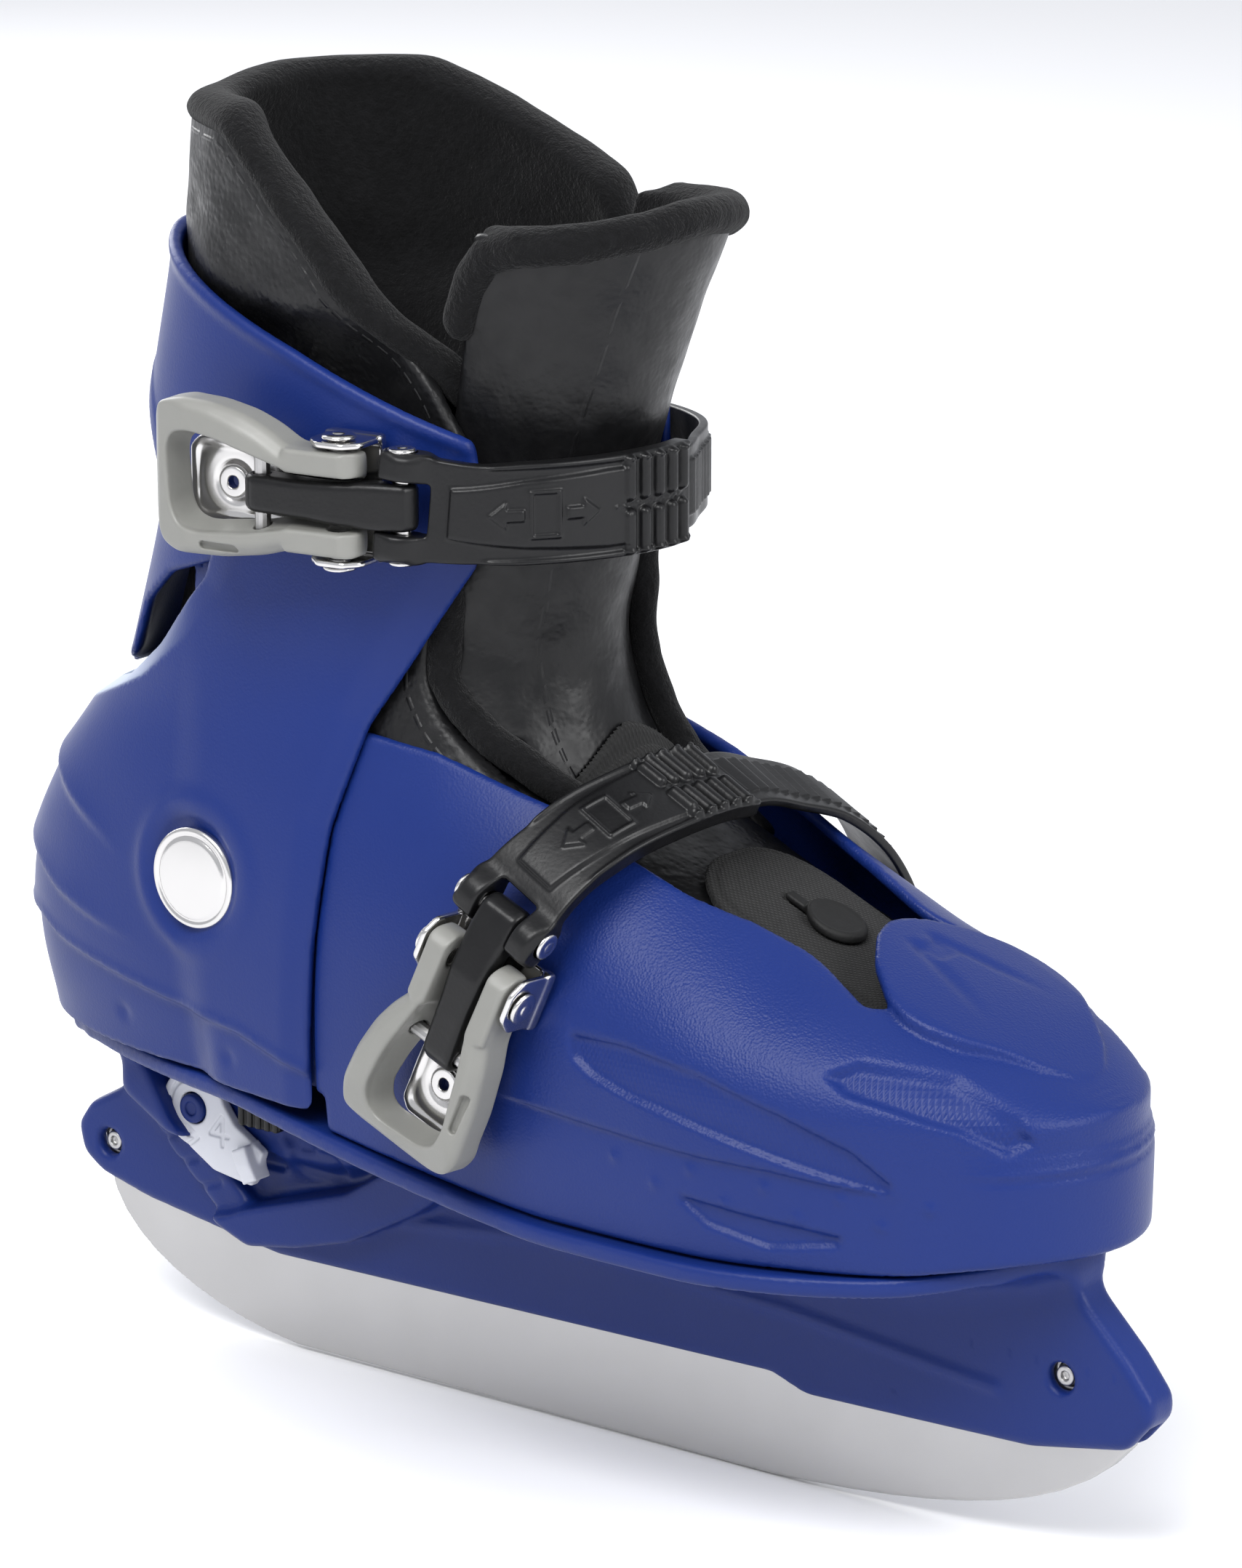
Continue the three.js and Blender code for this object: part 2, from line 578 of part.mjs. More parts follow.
function buildPatch() {
  const { x0, z0, x1, z1, half, thick } = PATCH;
  const rise = (dz) => [[x0, z0 + dz], [x1, z1 + dz]];
  const slab = prism([...rise(GAP), ...rise(GAP + thick).reverse()], -half, half);
  place('toe_patch', slab, CLOTH);
  const slope = (z1 - z0) / (x1 - x0);
  const disc = new THREE.CylinderGeometry(TAG.r, TAG.r, TAG.thick, 20);
  disc.rotateX(Math.PI / 2);
  disc.scale(TAG.squeeze, 1, 1);
  disc.rotateY(-Math.atan(slope));
  disc.translate(TAG.x, 0, z0 + (TAG.x - x0) * slope + thick + 2 * GAP + 0.9);
  place('patch_tag', solid(disc), BLACK);
}

// ---------------------------------------------------------------- size adjuster
const LEVER_FACE = POCKET_Y - 3;
const LEVER_THICK = 2.4;
const LEVER_DISC_R = 8;

function buildSizeAdjuster() {
  const [y0, y1] = [LEVER_FACE, LEVER_FACE + LEVER_THICK];
  const disc = barY(LEVER_HUB.x, LEVER_HUB.z, LEVER_DISC_R, y0, y1, 28);
  const arm = prism([[-95, 43], [-85, 37.3], [-76, 36.5], [-73, 43], [-80.5, 47], [-86, 55]], y0, y1);
  const grip = prism([[-79.5, 37.8], [-76, 36.5], [-73, 43], [-76.5, 44.5]], y0 - 3, y1);
  const hole = barY(LEVER_HUB.x, LEVER_HUB.z, LEVER_HUB.r + GAP, -30, 30, 20);
  place('size_lever', disc.add(arm).add(grip).subtract(hole), WHITE);
  place('size_pin', barY(LEVER_HUB.x, LEVER_HUB.z, LEVER_HUB.r, y0 - 1, 4, 20), BLUE);
  place('size_latch', box(-79, -68, POCKET_Y - 4.5, POCKET_Y - GAP, 48, 57), BLACK);
  const teeth = [];
  for (let x = RACK.x0; x < RACK.x1 - 0.1; x += RACK.pitch) {
    const mid = x + RACK.pitch / 2;
    const root = RACK.low + RACK.depth;
    teeth.push([x, RACK.low], [mid, RACK.low], [mid, root], [x + RACK.pitch, root]);
  }
  const outline = [...teeth, [RACK.x1, RACK.high], [RACK.x0, RACK.high]];
  place('size_rack', prism(outline, RACK.y - RACK.half, RACK.y + RACK.half), STEEL);
}

// ---------------------------------------------------------------- buckles
// Each buckle is drawn in its own frame: local x runs from the handle towards the strap, local z
// points away from the shell, and the lever turns about local y through the origin.
const BUCKLES = {
  upper: { at: [-22, -46.4, 188], along: [0.99, 0.139, 0], out: [0.139, -0.99, 0] },
  lower: { at: [13.5, -51.6, 105.5], along: [0.39, 0.055, 0.919], out: [0, -0.998, 0.06] },
};
const BASE_LOW = -7;             // underside of the base plate
const PLATE = 1.2;
const LINK_PIN = { x: -17, z: -0.5, r: 1.5 };
const STRAP_PIN = { x: 12, z: -2.5, r: 1.7, head: 2.7, half: 10.2 };
const LEVER_PIN_R = 2;
const LEVER_IN = 5.2;            // half the space between the lever's arms
const LEVER_OUT = 9.6;
const EAR = 1.2;
const EAR_OUT = LEVER_OUT + 0.9 + EAR;
const BASE_PLAN = [[-36, -6], [-34, -8], [-9, -8], [-6, -EAR_OUT], [5.5, -EAR_OUT], [5.5, EAR_OUT],
  [-6, EAR_OUT], [-9, 8], [-34, 8], [-36, 6]];
const EAR_SIDE = [[-6, BASE_LOW], [5.5, BASE_LOW], [5.5, 1.5], [2.5, 4], [-2.5, 4], [-5.5, 1]];
const BASE_RIVET = { x: -26, r: 1.9, head: 3.4 };
const LEVER_HEAD_R = 3.2;
const LINK_HALF = 4.7;
const LINK_PIN_HALF = 8;

function buckleMatrix({ at, along, out }) {
  const x = new THREE.Vector3(...along).normalize();
  const z = new THREE.Vector3(...out);
  z.addScaledVector(x, -z.dot(x)).normalize();
  const y = z.clone().cross(x);
  return new THREE.Matrix4().makeBasis(x, y, z).setPosition(...at);
}

// Plan outline in local x and y, carried from z0 to z1.
function slab(outline, z0, z1) {
  const shape = Array.isArray(outline) ? sideShape(outline) : outline;
  const settings = { depth: z1 - z0, bevelEnabled: false, curveSegments: 8 };
  const geometry = new THREE.ExtrudeGeometry(shape, settings);
  geometry.translate(0, 0, z0);
  return solid(geometry);
}

const LEVER_SIDE = [[-41, -2], [-38.5, 1.8], [-32, 4], [-20, 5], [-9, 4.8], [1.5, 4], [5, 1.5], [5, -2],
  [2, -4], [-6, -4.4], [-18, -3.8], [-30, -3.4], [-38, -4.6], [-41, -4.6]];
const WINDOW_REAR = -32.5;       // rear end of the space between the lever's arms
const LEVER_PLAN = [[5, -LEVER_OUT], [5, LEVER_OUT], [-9, 10.2], [-24, 14.2], [-37, 16], [-41, 15],
  [-41, -9], [-36, -13], [-24, -12], [-9, -10.1]];
const LINK_SIDE = [[-20.5, -2], [-18.5, -4], [-13, -3.4], [0, -0.8], [8, -3.2], [11, -5.4], [14, -5.2],
  [15.3, -2.5], [14, 0.6], [8, 2], [0, 3.4], [-9, 3.2], [-18, 2.6], [-20.5, 0.5]];

function buildBase(name, rig) {
  let base = slab(BASE_PLAN, BASE_LOW, BASE_LOW + PLATE);
  base = base.add(prism(EAR_SIDE, EAR_OUT - EAR, EAR_OUT)).add(prism(EAR_SIDE, -EAR_OUT, -EAR_OUT + EAR));
  base = base.subtract(barY(0, 0, LEVER_PIN_R + GAP, -40, 40, 16));
  base = base.subtract(barZ(BASE_RIVET.x, 0, BASE_RIVET.r + GAP, -20, 20, 16));
  place(`${name}_buckle_base`, base, CHROME, rig);
  const top = BASE_LOW + PLATE + GAP;
  const shank = barZ(BASE_RIVET.x, 0, BASE_RIVET.r, BASE_LOW - 0.1, top + 0.1, 16);
  const collar = barZ(BASE_RIVET.x, 0, BASE_RIVET.head, top, top + 1, 16);
  place(`${name}_base_rivet`, shank.add(collar), CHROME, rig);
  [1, -1].forEach((sign, i) => {
    const bar = (r, a, b) => barY(0, 0, r, sign * a, sign * b, 16);
    const head = bar(LEVER_HEAD_R, EAR_OUT + GAP, EAR_OUT + 1.5);
    const pin = bar(LEVER_PIN_R, LEVER_IN + GAP, EAR_OUT + 0.5).add(head);
    place(`${name}_lever_rivet_${i + 1}`, pin, CHROME, rig);
  });
}

function buildLever(name, rig) {
  const linkPin = (r, half) => barY(LINK_PIN.x, LINK_PIN.z, r, -half, half, 12);
  let lever = prism(LEVER_SIDE, -16, 16).intersect(slab(LEVER_PLAN, -10, 10));
  lever = lever.subtract(box(WINDOW_REAR, 10, -LEVER_IN, LEVER_IN, -12, 12));
  lever = lever.subtract(barY(0, 0, LEVER_PIN_R + GAP, -40, 40, 16));
  lever = lever.subtract(linkPin(LINK_PIN.r + GAP, LINK_PIN_HALF + GAP));
  place(`${name}_lever`, lever, GREY, rig);
  place(`${name}_link_pin`, linkPin(LINK_PIN.r, LINK_PIN_HALF), STEEL, rig);
}

function buildLink(name, rig) {
  let link = prism(LINK_SIDE, -LINK_HALF, LINK_HALF);
  [LINK_PIN, STRAP_PIN].forEach(({ x, z, r }) => {
    link = link.subtract(barY(x, z, r + GAP, -9, 9, 12));
  });
  place(`${name}_link_bar`, link, BLACK, rig);
  const bar = (r, a, b, sides) => barY(STRAP_PIN.x, STRAP_PIN.z, r, a, b, sides);
  const { head, half } = STRAP_PIN;
  let pin = bar(STRAP_PIN.r, -half, half, 12);
  [1, -1].forEach((sign) => {
    pin = pin.add(bar(head, sign * (half - 0.1), sign * (half + 1), 14));
  });
  place(`${name}_strap_pin`, pin, CHROME, rig);
}

function buildBuckle(name, spec) {
  const rig = new THREE.Group();
  rig.applyMatrix4(buckleMatrix(spec));
  skate.add(rig);
  buildBase(name, rig);
  buildLever(name, rig);
  buildLink(name, rig);
  buildStrap(name, spec);
}

// Straps: centre line of the carrier beyond its pin, and of the ladder strap that it grips.
const STRAP_WIDE = 19.4;
const CARRIER_THICK = 3;
const STRAPS = {
  upper: {
    across: [0, 0, 1],
    carrier: [[1, -36, 187], [10, -27, 187], [16, -16, 187], [18.8, -4, 187], [18.4, 5, 187]],
    ladder: [[13.5, 15, 187], [8, 25, 187], [-2, 33.4, 186.5], [-16, 39, 186], [-34, 40.6, 186]],
    rivet: [-28, 41, 186],
  },
  lower: {
    across: [-0.9, 0.1, 0.4],
    carrier: [[22.5, -43, 124], [27, -33, 130.5], [30, -21, 133.5], [31.5, -9, 134.5], [32.5, 0, 134]],
    ladder: [[34, 13, 131], [36, 25, 126.5], [37.5, 37, 117], [38, 45, 104], [38, 47.4, 90]],
    rivet: [38, 47.6, 96],
  },
};
const LADDER_THICK = 2;
const LADDER_WIDE = 16;
const KNUCKLE = { r: 3.6, half: 9.5 };
const FORK_HALF = 5.2;
const STRAP_RIVET = { r: 2, head: 4, reach: 1.6, high: 2.8 };

function ribbon(path, across, wide, thick, steps) {
  const curve = new THREE.CatmullRomCurve3(path.map((p) => new THREE.Vector3(...p)), false, 'centripetal');
  const rings = [];
  for (let i = 0; i <= steps; i += 1) {
    const at = curve.getPointAt(i / steps);
    const along = curve.getTangentAt(i / steps);
    const side = new THREE.Vector3(...across);
    side.addScaledVector(along, -side.dot(along)).normalize();
    const up = along.clone().cross(side);
    rings.push([[-1, -1], [1, -1], [1, 1], [-1, 1]].map(([a, b]) => at.clone()
      .addScaledVector(side, (a * wide) / 2).addScaledVector(up, (b * thick) / 2).toArray()));
  }
  return solid(loft(rings));
}

// The carrier forks round the link and hinges on the strap pin. The ladder strap is riveted to the far side.
function buildStrap(name, spec) {
  const { across: side, carrier, ladder } = STRAPS[name];
  const matrix = buckleMatrix(spec);
  const moved = (body) => body.transform(matrix.elements);
  const pinBar = (r, half, sides) => moved(barY(STRAP_PIN.x, STRAP_PIN.z, r, -half, half, sides));
  const start = new THREE.Vector3(STRAP_PIN.x, 0, STRAP_PIN.z).applyMatrix4(matrix).toArray();
  let strap = ribbon([start, ...carrier], side, STRAP_WIDE, CARRIER_THICK, 12);
  strap = strap.add(pinBar(KNUCKLE.r, KNUCKLE.half, 14));
  strap = strap.subtract(moved(box(STRAP_PIN.x - 6, STRAP_PIN.x + 6.5, -FORK_HALF, FORK_HALF, -12, 8)));
  strap = strap.subtract(pinBar(STRAP_PIN.r + GAP, 30, 12));
  place(`${name}_strap_carrier`, strap, BLACK);
  const [x, y, z] = STRAPS[name].rivet;
  const strip = ribbon(ladder, side, LADDER_WIDE, LADDER_THICK, 10);
  place(`${name}_ladder_strap`, strip.subtract(barY(x, z, STRAP_RIVET.r + GAP, 0, 80, 14)), BLACK);
  const shank = barY(x, z, STRAP_RIVET.r, y - STRAP_RIVET.reach, y + STRAP_RIVET.reach, 14);
  const head = barY(x, z, STRAP_RIVET.head, y + STRAP_RIVET.reach - 0.1, y + STRAP_RIVET.high, 18);
  place(`${name}_strap_rivet`, shank.add(head), CHROME);
}

buildBlade();
buildHolder();
buildSoleScrews();
buildFrontShell();
buildHeelShell();
buildCuff();
buildAnklePivots();
buildLinerFoot();
buildLinerCuff();
buildTongue();
buildPatch();
buildSizeAdjuster();
Object.entries(BUCKLES).forEach(([name, spec]) => buildBuckle(name, spec));

export default skate;
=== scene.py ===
# Looks of a child's adjustable hard-shell ice skate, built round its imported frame.
# Shapes are worked out in millimetres in the frame's own axes: +X to the toe, +Y to the inner side, +Z up.
import math

import bpy
import numpy as np
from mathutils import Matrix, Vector


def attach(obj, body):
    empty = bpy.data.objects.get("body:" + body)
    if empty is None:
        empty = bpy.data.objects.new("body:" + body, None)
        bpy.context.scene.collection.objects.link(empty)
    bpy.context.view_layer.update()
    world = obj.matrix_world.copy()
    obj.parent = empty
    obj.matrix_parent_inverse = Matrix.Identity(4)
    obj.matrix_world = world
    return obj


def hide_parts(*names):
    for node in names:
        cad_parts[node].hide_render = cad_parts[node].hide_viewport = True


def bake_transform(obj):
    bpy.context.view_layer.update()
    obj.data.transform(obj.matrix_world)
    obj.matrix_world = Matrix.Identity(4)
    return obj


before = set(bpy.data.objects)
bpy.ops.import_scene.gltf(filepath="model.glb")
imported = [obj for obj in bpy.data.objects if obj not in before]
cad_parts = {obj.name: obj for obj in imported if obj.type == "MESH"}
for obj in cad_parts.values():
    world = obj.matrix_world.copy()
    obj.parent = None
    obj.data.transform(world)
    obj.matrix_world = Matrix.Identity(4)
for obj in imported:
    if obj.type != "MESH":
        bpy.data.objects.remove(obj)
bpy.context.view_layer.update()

MM = 0.001


# ---------------------------------------------------------------- camera, light and floor
def make_camera():
    data = bpy.data.cameras.new("view")
    data.sensor_fit = "VERTICAL"
    data.sensor_height = 36
    data.lens = 158.4
    camera = bpy.data.objects.new("view", data)
    bpy.context.scene.collection.objects.link(camera)
    azimuth, elevation = math.radians(37.5), math.radians(15)
    back = Vector((math.sin(azimuth) * math.cos(elevation), -math.cos(azimuth) * math.cos(elevation),
                   math.sin(elevation)))
    camera.location = Vector((0.0075, 0, 0.1293)) + back * 1.3
    camera.rotation_mode = "QUATERNION"
    camera.rotation_quaternion = (-back).to_track_quat("-Z", "Y")
    data.clip_start, data.clip_end = 0.01, 50
    bpy.context.scene.camera = camera


def make_light(name, place, aim, size, watts):
    data = bpy.data.lights.new(name, "AREA")
    data.energy, data.shape, data.size, data.size_y = watts, "RECTANGLE", size[0], size[1]
    light = bpy.data.objects.new(name, data)
    bpy.context.scene.collection.objects.link(light)
    light.location = place
    light.rotation_mode = "QUATERNION"
    light.rotation_quaternion = (Vector(aim) - Vector(place)).to_track_quat("-Z", "Y")


def make_studio():
    world = bpy.data.worlds.new("studio")
    bpy.context.scene.world = world
    world.use_nodes = True
    world.node_tree.nodes["Background"].inputs["Color"].default_value = (0.93, 0.95, 1.0, 1)
    world.node_tree.nodes["Background"].inputs["Strength"].default_value = 0.75
    make_light("key", (0.2, -1.1, 1.5), (0, 0, 0.12), (1.2, 0.9), 32)
    make_light("toe", (1.5, 0.1, 0.9), (0.05, 0, 0.1), (0.8, 1.0), 16)
    make_light("rear", (-1.4, 0.6, 0.8), (0, 0, 0.12), (0.8, 1.0), 14)
    bpy.context.scene.view_settings.view_transform = "Standard"
    mesh = bpy.data.meshes.new("floor")
    mesh.from_pydata([(-6, -6, 0), (6, -6, 0), (6, 6, 0), (-6, 6, 0)], [], [(0, 1, 2, 3)])
    floor = bpy.data.objects.new("floor", mesh)
    bpy.context.scene.collection.objects.link(floor)
    floor.location.z = -0.0005
    paint = bpy.data.materials.new("floor")
    paint.use_nodes = True
    paint.node_tree.nodes["Principled BSDF"].inputs["Base Color"].default_value = (0.86, 0.86, 0.87, 1)
    paint.node_tree.nodes["Principled BSDF"].inputs["Roughness"].default_value = 0.7
    mesh.materials.append(paint)


make_camera()
make_studio()


# ---------------------------------------------------------------- distance fields
def smooth_max(a, b, r):
    h = np.maximum(r - np.abs(a - b), 0) / r
    return np.maximum(a, b) + h * h * r * 0.25


def smooth_min(a, b, r):
    return -smooth_max(-a, -b, r)


def smooth_step(t):
    t = np.clip(t, 0, 1)
    return t * t * (3 - 2 * t)


def outline(u, v, points):
    """Distance from (u, v) to a closed outline, negative inside."""
    best = np.full(np.shape(u), 1e9)
    inside = np.zeros(np.shape(u), bool)
    for (ax, ay), (bx, by) in zip(points, points[1:] + points[:1]):
        ex, ey, wx, wy = bx - ax, by - ay, u - ax, v - ay
        t = np.clip((wx * ex + wy * ey) / (ex * ex + ey * ey), 0, 1)
        best = np.minimum(best, (wx - ex * t) ** 2 + (wy - ey * t) ** 2)
        side = ex * wy > ey * wx
        above, below = v >= ay, v < by
        inside ^= (above & below & side) | (~above & ~below & ~side)
    return np.where(inside, -1, 1) * np.sqrt(best)


def path_distance(u, v, points):
    """Distance to an open path."""
    best = np.full(np.shape(u), 1e9)
    for (ax, ay), (bx, by) in zip(points[:-1], points[1:]):
        ex, ey, wx, wy = bx - ax, by - ay, u - ax, v - ay
        t = np.clip((wx * ex + wy * ey) / (ex * ex + ey * ey), 0, 1)
        best = np.minimum(best, (wx - ex * t) ** 2 + (wy - ey * t) ** 2)
    return np.sqrt(best)


def slab_field(flat, w, low, high, r):
    """A flat outline given by its distance, carried from low to high along w, with rounded edges."""
    mid, half = (low + high) / 2, (high - low) / 2
    return smooth_max(flat, np.abs(w - mid) - half, r)


def rod_field(u, v, w, cu, cv, radius, low, high, r=0.4):
    return slab_field(np.hypot(u - cu, v - cv) - radius, w, low, high, r)


class Curve:
    """A smooth curve through a few points, as a function of its first coordinate."""

    def __init__(self, points, soften):
        xs = np.array([p[0] for p in points], float)
        self.x = np.linspace(xs[0] - 60, xs[-1] + 60, 1200)
        rows = [np.interp(self.x, xs, [p[k] for p in points]) for k in range(1, len(points[0]))]
        gap = self.x[1] - self.x[0]
        reach = int(3 * soften / gap) + 1
        kernel = np.exp(-0.5 * (np.arange(-reach, reach + 1) * gap / soften) ** 2)
        kernel /= kernel.sum()
        self.rows = [np.convolve(np.pad(r, reach, mode="edge"), kernel, "valid") for r in rows]

    def __call__(self, x, k=0):
        return np.interp(x, self.x, self.rows[k])


class Map:
    """A value over a flat view, kept on a square grid and read between its points."""

    def __init__(self, function, low, high, soften=0.0, step=0.5):
        self.low, self.step = low, step
        nu, nv = (int((high[k] - low[k]) / step) + 1 for k in (0, 1))
        u, v = np.meshgrid(low[0] + step * np.arange(nu), low[1] + step * np.arange(nv), indexing="ij")
        values = function(u, v)
        if soften:
            fu, fv = np.fft.fftfreq(nu, step)[:, None], np.fft.rfftfreq(nv, step)[None, :]
            spread = np.exp(-2 * (np.pi * soften) ** 2 * (fu * fu + fv * fv))
            values = np.fft.irfft2(np.fft.rfft2(values) * spread, s=(nu, nv))
        self.values = values.astype(np.float32)

    def __call__(self, u, v):
        a = np.clip((u - self.low[0]) / self.step, 0, self.values.shape[0] - 1.001)
        b = np.clip((v - self.low[1]) / self.step, 0, self.values.shape[1] - 1.001)
        i, j = a.astype(np.int32), b.astype(np.int32)
        a, b = a - i, b - j
        t = self.values
        low = t[i, j] * (1 - b) + t[i, j + 1] * b
        high = t[i + 1, j] * (1 - b) + t[i + 1, j + 1] * b
        return low * (1 - a) + high * a


SIDE_LOW, SIDE_HIGH = (-150, -10), (150, 275)


def side_outline(points, soften=0.7):
    return Map(lambda u, v: outline(u, v, points), SIDE_LOW, SIDE_HIGH, soften)


# ---------------------------------------------------------------- from a field to a mesh
BLOCK = 8
SHELL_STEP = 0.85
SOFT_STEP = 1.1
HARD_STEP = 0.33


def grid_values(field, low, step, blocks):
    """The field on a regular grid, worked out in full only near its surface."""
    size = BLOCK * step
    index = np.stack(np.meshgrid(*[np.arange(n) for n in blocks], indexing="ij"), -1).reshape(-1, 3)
    rough = field(*(low + (index + 0.5) * size).T)
    near = (np.abs(rough) < size * 1.5).reshape(blocks)
    for axis in range(3):
        near = near | np.roll(near, 1, axis) | np.roll(near, -1, axis)
    values = np.where(rough < 0, -size, size).reshape(blocks).astype(np.float32)
    for axis in range(3):
        values = np.repeat(values, BLOCK, axis)
    offsets = np.stack(np.meshgrid(*[np.arange(BLOCK)] * 3, indexing="ij"), -1).reshape(-1, 3)
    picked = index[near.reshape(-1)]
    for start in range(0, len(picked), 2000):
        cells = (picked[start:start + 2000, None, :] * BLOCK + offsets[None]).reshape(-1, 3)
        values[tuple(cells.T)] = field(*(low + cells * step).T)
    return values


def surface_nets(values):
    """Vertices and quads of the zero surface, one vertex for each cell that it passes through."""
    inside = values < 0
    shape = np.array(values.shape)
    strides = np.array([shape[1] * shape[2], shape[2], 1])
    cells, points, quads = [], [], []
    for axis in range(3):
        a, b = [slice(None)] * 3, [slice(None)] * 3
        a[axis], b[axis] = slice(0, -1), slice(1, None)
        index = np.argwhere(inside[tuple(a)] != inside[tuple(b)])
        p, q = [(axis + k) % 3 for k in (1, 2)]
        index = index[(index[:, p] > 0) & (index[:, q] > 0)]
        near = values[tuple(index.T)]
        far_index = index.copy()
        far_index[:, axis] += 1
        far = values[tuple(far_index.T)]
        point = index.astype(float)
        point[:, axis] += near / (near - far)
        first = index @ strides
        around = np.stack([first, first - strides[p], first - strides[p] - strides[q], first - strides[q]], 1)
        around[near > 0] = around[near > 0][:, ::-1]
        quads.append(around)
        cells.append(around.reshape(-1))
        points.append(np.repeat(point, 4, 0))
    cells, points = np.concatenate(cells), np.concatenate(points)
    quads = np.concatenate(quads)
    keys, place = np.unique(cells, return_inverse=True)
    count = np.bincount(place)
    vertices = np.stack([np.bincount(place, points[:, k]) / count for k in range(3)], 1)
    return vertices, np.searchsorted(keys, quads)


TETRA = np.array([(1, -1, -1), (-1, -1, 1), (-1, 1, -1), (1, 1, 1)], float)


def mesh_field(field, low, high, step, sharpen=2):
    low, high = np.array(low, float) - 2 * step, np.array(high, float) + 2 * step
    blocks = tuple(int(n) for n in np.ceil((high - low) / (step * BLOCK)))
    vertices, quads = surface_nets(grid_values(field, low, step, blocks))
    vertices = low + vertices * step
    reach = 0.35 * step
    for _ in range(sharpen):
        slope = sum(k[None] * field(*(vertices + k * reach).T)[:, None] for k in TETRA) / (4 * reach)
        size = np.maximum((slope ** 2).sum(1), 0.05)
        move = -(field(*vertices.T) / size)[:, None] * slope
        vertices = vertices + np.clip(move, -0.6 * step, 0.6 * step)
    return vertices, quads


def make_piece(name, vertices, quads, material, body, node=None):
    mesh = bpy.data.meshes.new(name)
    mesh.vertices.add(len(vertices))
    mesh.vertices.foreach_set("co", (np.asarray(vertices) * MM).astype(np.float32).ravel())
    mesh.loops.add(quads.size)
    mesh.loops.foreach_set("vertex_index", quads.astype(np.int32).ravel())
    mesh.polygons.add(len(quads))
    mesh.polygons.foreach_set("loop_start", np.arange(0, quads.size, 4, dtype=np.int32))
    mesh.polygons.foreach_set("use_smooth", np.ones(len(quads), bool))
    mesh.update(calc_edges=True)
    mesh.validate()
    mesh.materials.append(material)
    piece = bpy.data.objects.new(name, mesh)
    bpy.context.scene.collection.objects.link(piece)
    if body:
        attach(piece, body)
    if node:
        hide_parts(*([node] if isinstance(node, str) else node))
    return piece


# ---------------------------------------------------------------- materials
class Paint:
    """A procedural material: shader constants, a little colour and gloss variation, and layers of fine relief."""

    def __init__(self, name, colour, roughness, metallic=0.0, tint=0.1, tint_size=25, wear=0.06, **constants):
        self.material = bpy.data.materials.new(name)
        self.material.use_nodes = True
        self.tree = self.material.node_tree
        self.shader = self.tree.nodes["Principled BSDF"]
        self.place = self.node("ShaderNodeTexCoord").outputs["Object"]
        self.shader.inputs["Metallic"].default_value = metallic
        for key, value in constants.items():
            self.shader.inputs[key.replace("_", " ")].default_value = value
        cloud = self.noise(tint_size, 3)
        mix = self.node("ShaderNodeMix", data_type="RGBA")
        self.join(cloud, mix.inputs["Factor"])
        mix.inputs["A"].default_value = (*[c * (1 - tint) for c in colour], 1)
        mix.inputs["B"].default_value = (*[min(c * (1 + tint), 1) for c in colour], 1)
        self.colour = mix.outputs["Result"]
        self.join(self.colour, self.shader.inputs["Base Color"])
        gloss = self.ranged(self.noise(tint_size * 0.4, 4), roughness - wear, roughness + wear)
        self.join(gloss, self.shader.inputs["Roughness"])
        self.normal = None

    def node(self, kind, **settings):
        made = self.tree.nodes.new(kind)
        for key, value in settings.items():
            setattr(made, key, value)
        return made

    def join(self, a, b):
        self.tree.links.new(a, b)

    def math(self, operation, a, b=0.0):
        made = self.node("ShaderNodeMath", operation=operation)
        for value, socket in ((a, made.inputs[0]), (b, made.inputs[1])):
            if isinstance(value, (int, float)):
                socket.default_value = value
            else:
                self.join(value, socket)
        return made.outputs[0]

    def ranged(self, value, low, high, start=0.3, end=0.7):
        made = self.node("ShaderNodeMapRange")
        self.join(value, made.inputs["Value"])
        for key, number in (("From Min", start), ("From Max", end), ("To Min", low), ("To Max", high)):
            made.inputs[key].default_value = number
        return made.outputs["Result"]

    def mapped(self, scale=(1, 1, 1), turn=(0, 0, 0)):
        made = self.node("ShaderNodeMapping")
        self.join(self.place, made.inputs["Vector"])
        made.inputs["Scale"].default_value = scale
        made.inputs["Rotation"].default_value = [math.radians(a) for a in turn]
        return made.outputs["Vector"]

    def noise(self, size, detail=2, stretch=(1, 1, 1)):
        """Cloudy noise whose lumps are about size millimetres across."""
        made = self.node("ShaderNodeTexNoise")
        self.join(self.mapped(stretch), made.inputs["Vector"])
        made.inputs["Scale"].default_value = 1000 / size
        made.inputs["Detail"].default_value = detail
        return made.outputs["Fac"]

    def pebble(self, size):
        made = self.node("ShaderNodeTexVoronoi", feature="SMOOTH_F1")
        self.join(self.mapped(), made.inputs["Vector"])
        made.inputs["Scale"].default_value = 1000 / size
        return made.outputs["Distance"]

    def stripes(self, size, turn):
        made = self.node("ShaderNodeTexWave", wave_type="BANDS", bands_direction="X")
        self.join(self.mapped(turn=turn), made.inputs["Vector"])
        made.inputs["Scale"].default_value = 1000 / size / math.pi
        return made.outputs["Fac"]

    def attribute(self, name):
        return self.node("ShaderNodeAttribute", attribute_name=name).outputs["Fac"]

    def relief(self, height, depth, strength=1.0):
        """Adds relief that is depth millimetres deep where height goes from 0 to 1."""
        made = self.node("ShaderNodeBump")
        made.inputs["Strength"].default_value = strength
        made.inputs["Distance"].default_value = depth * MM
        self.join(height, made.inputs["Height"])
        if self.normal is not None:
            self.join(self.normal, made.inputs["Normal"])
        self.normal = made.outputs["Normal"]
        self.join(self.normal, self.shader.inputs["Normal"])
        return self


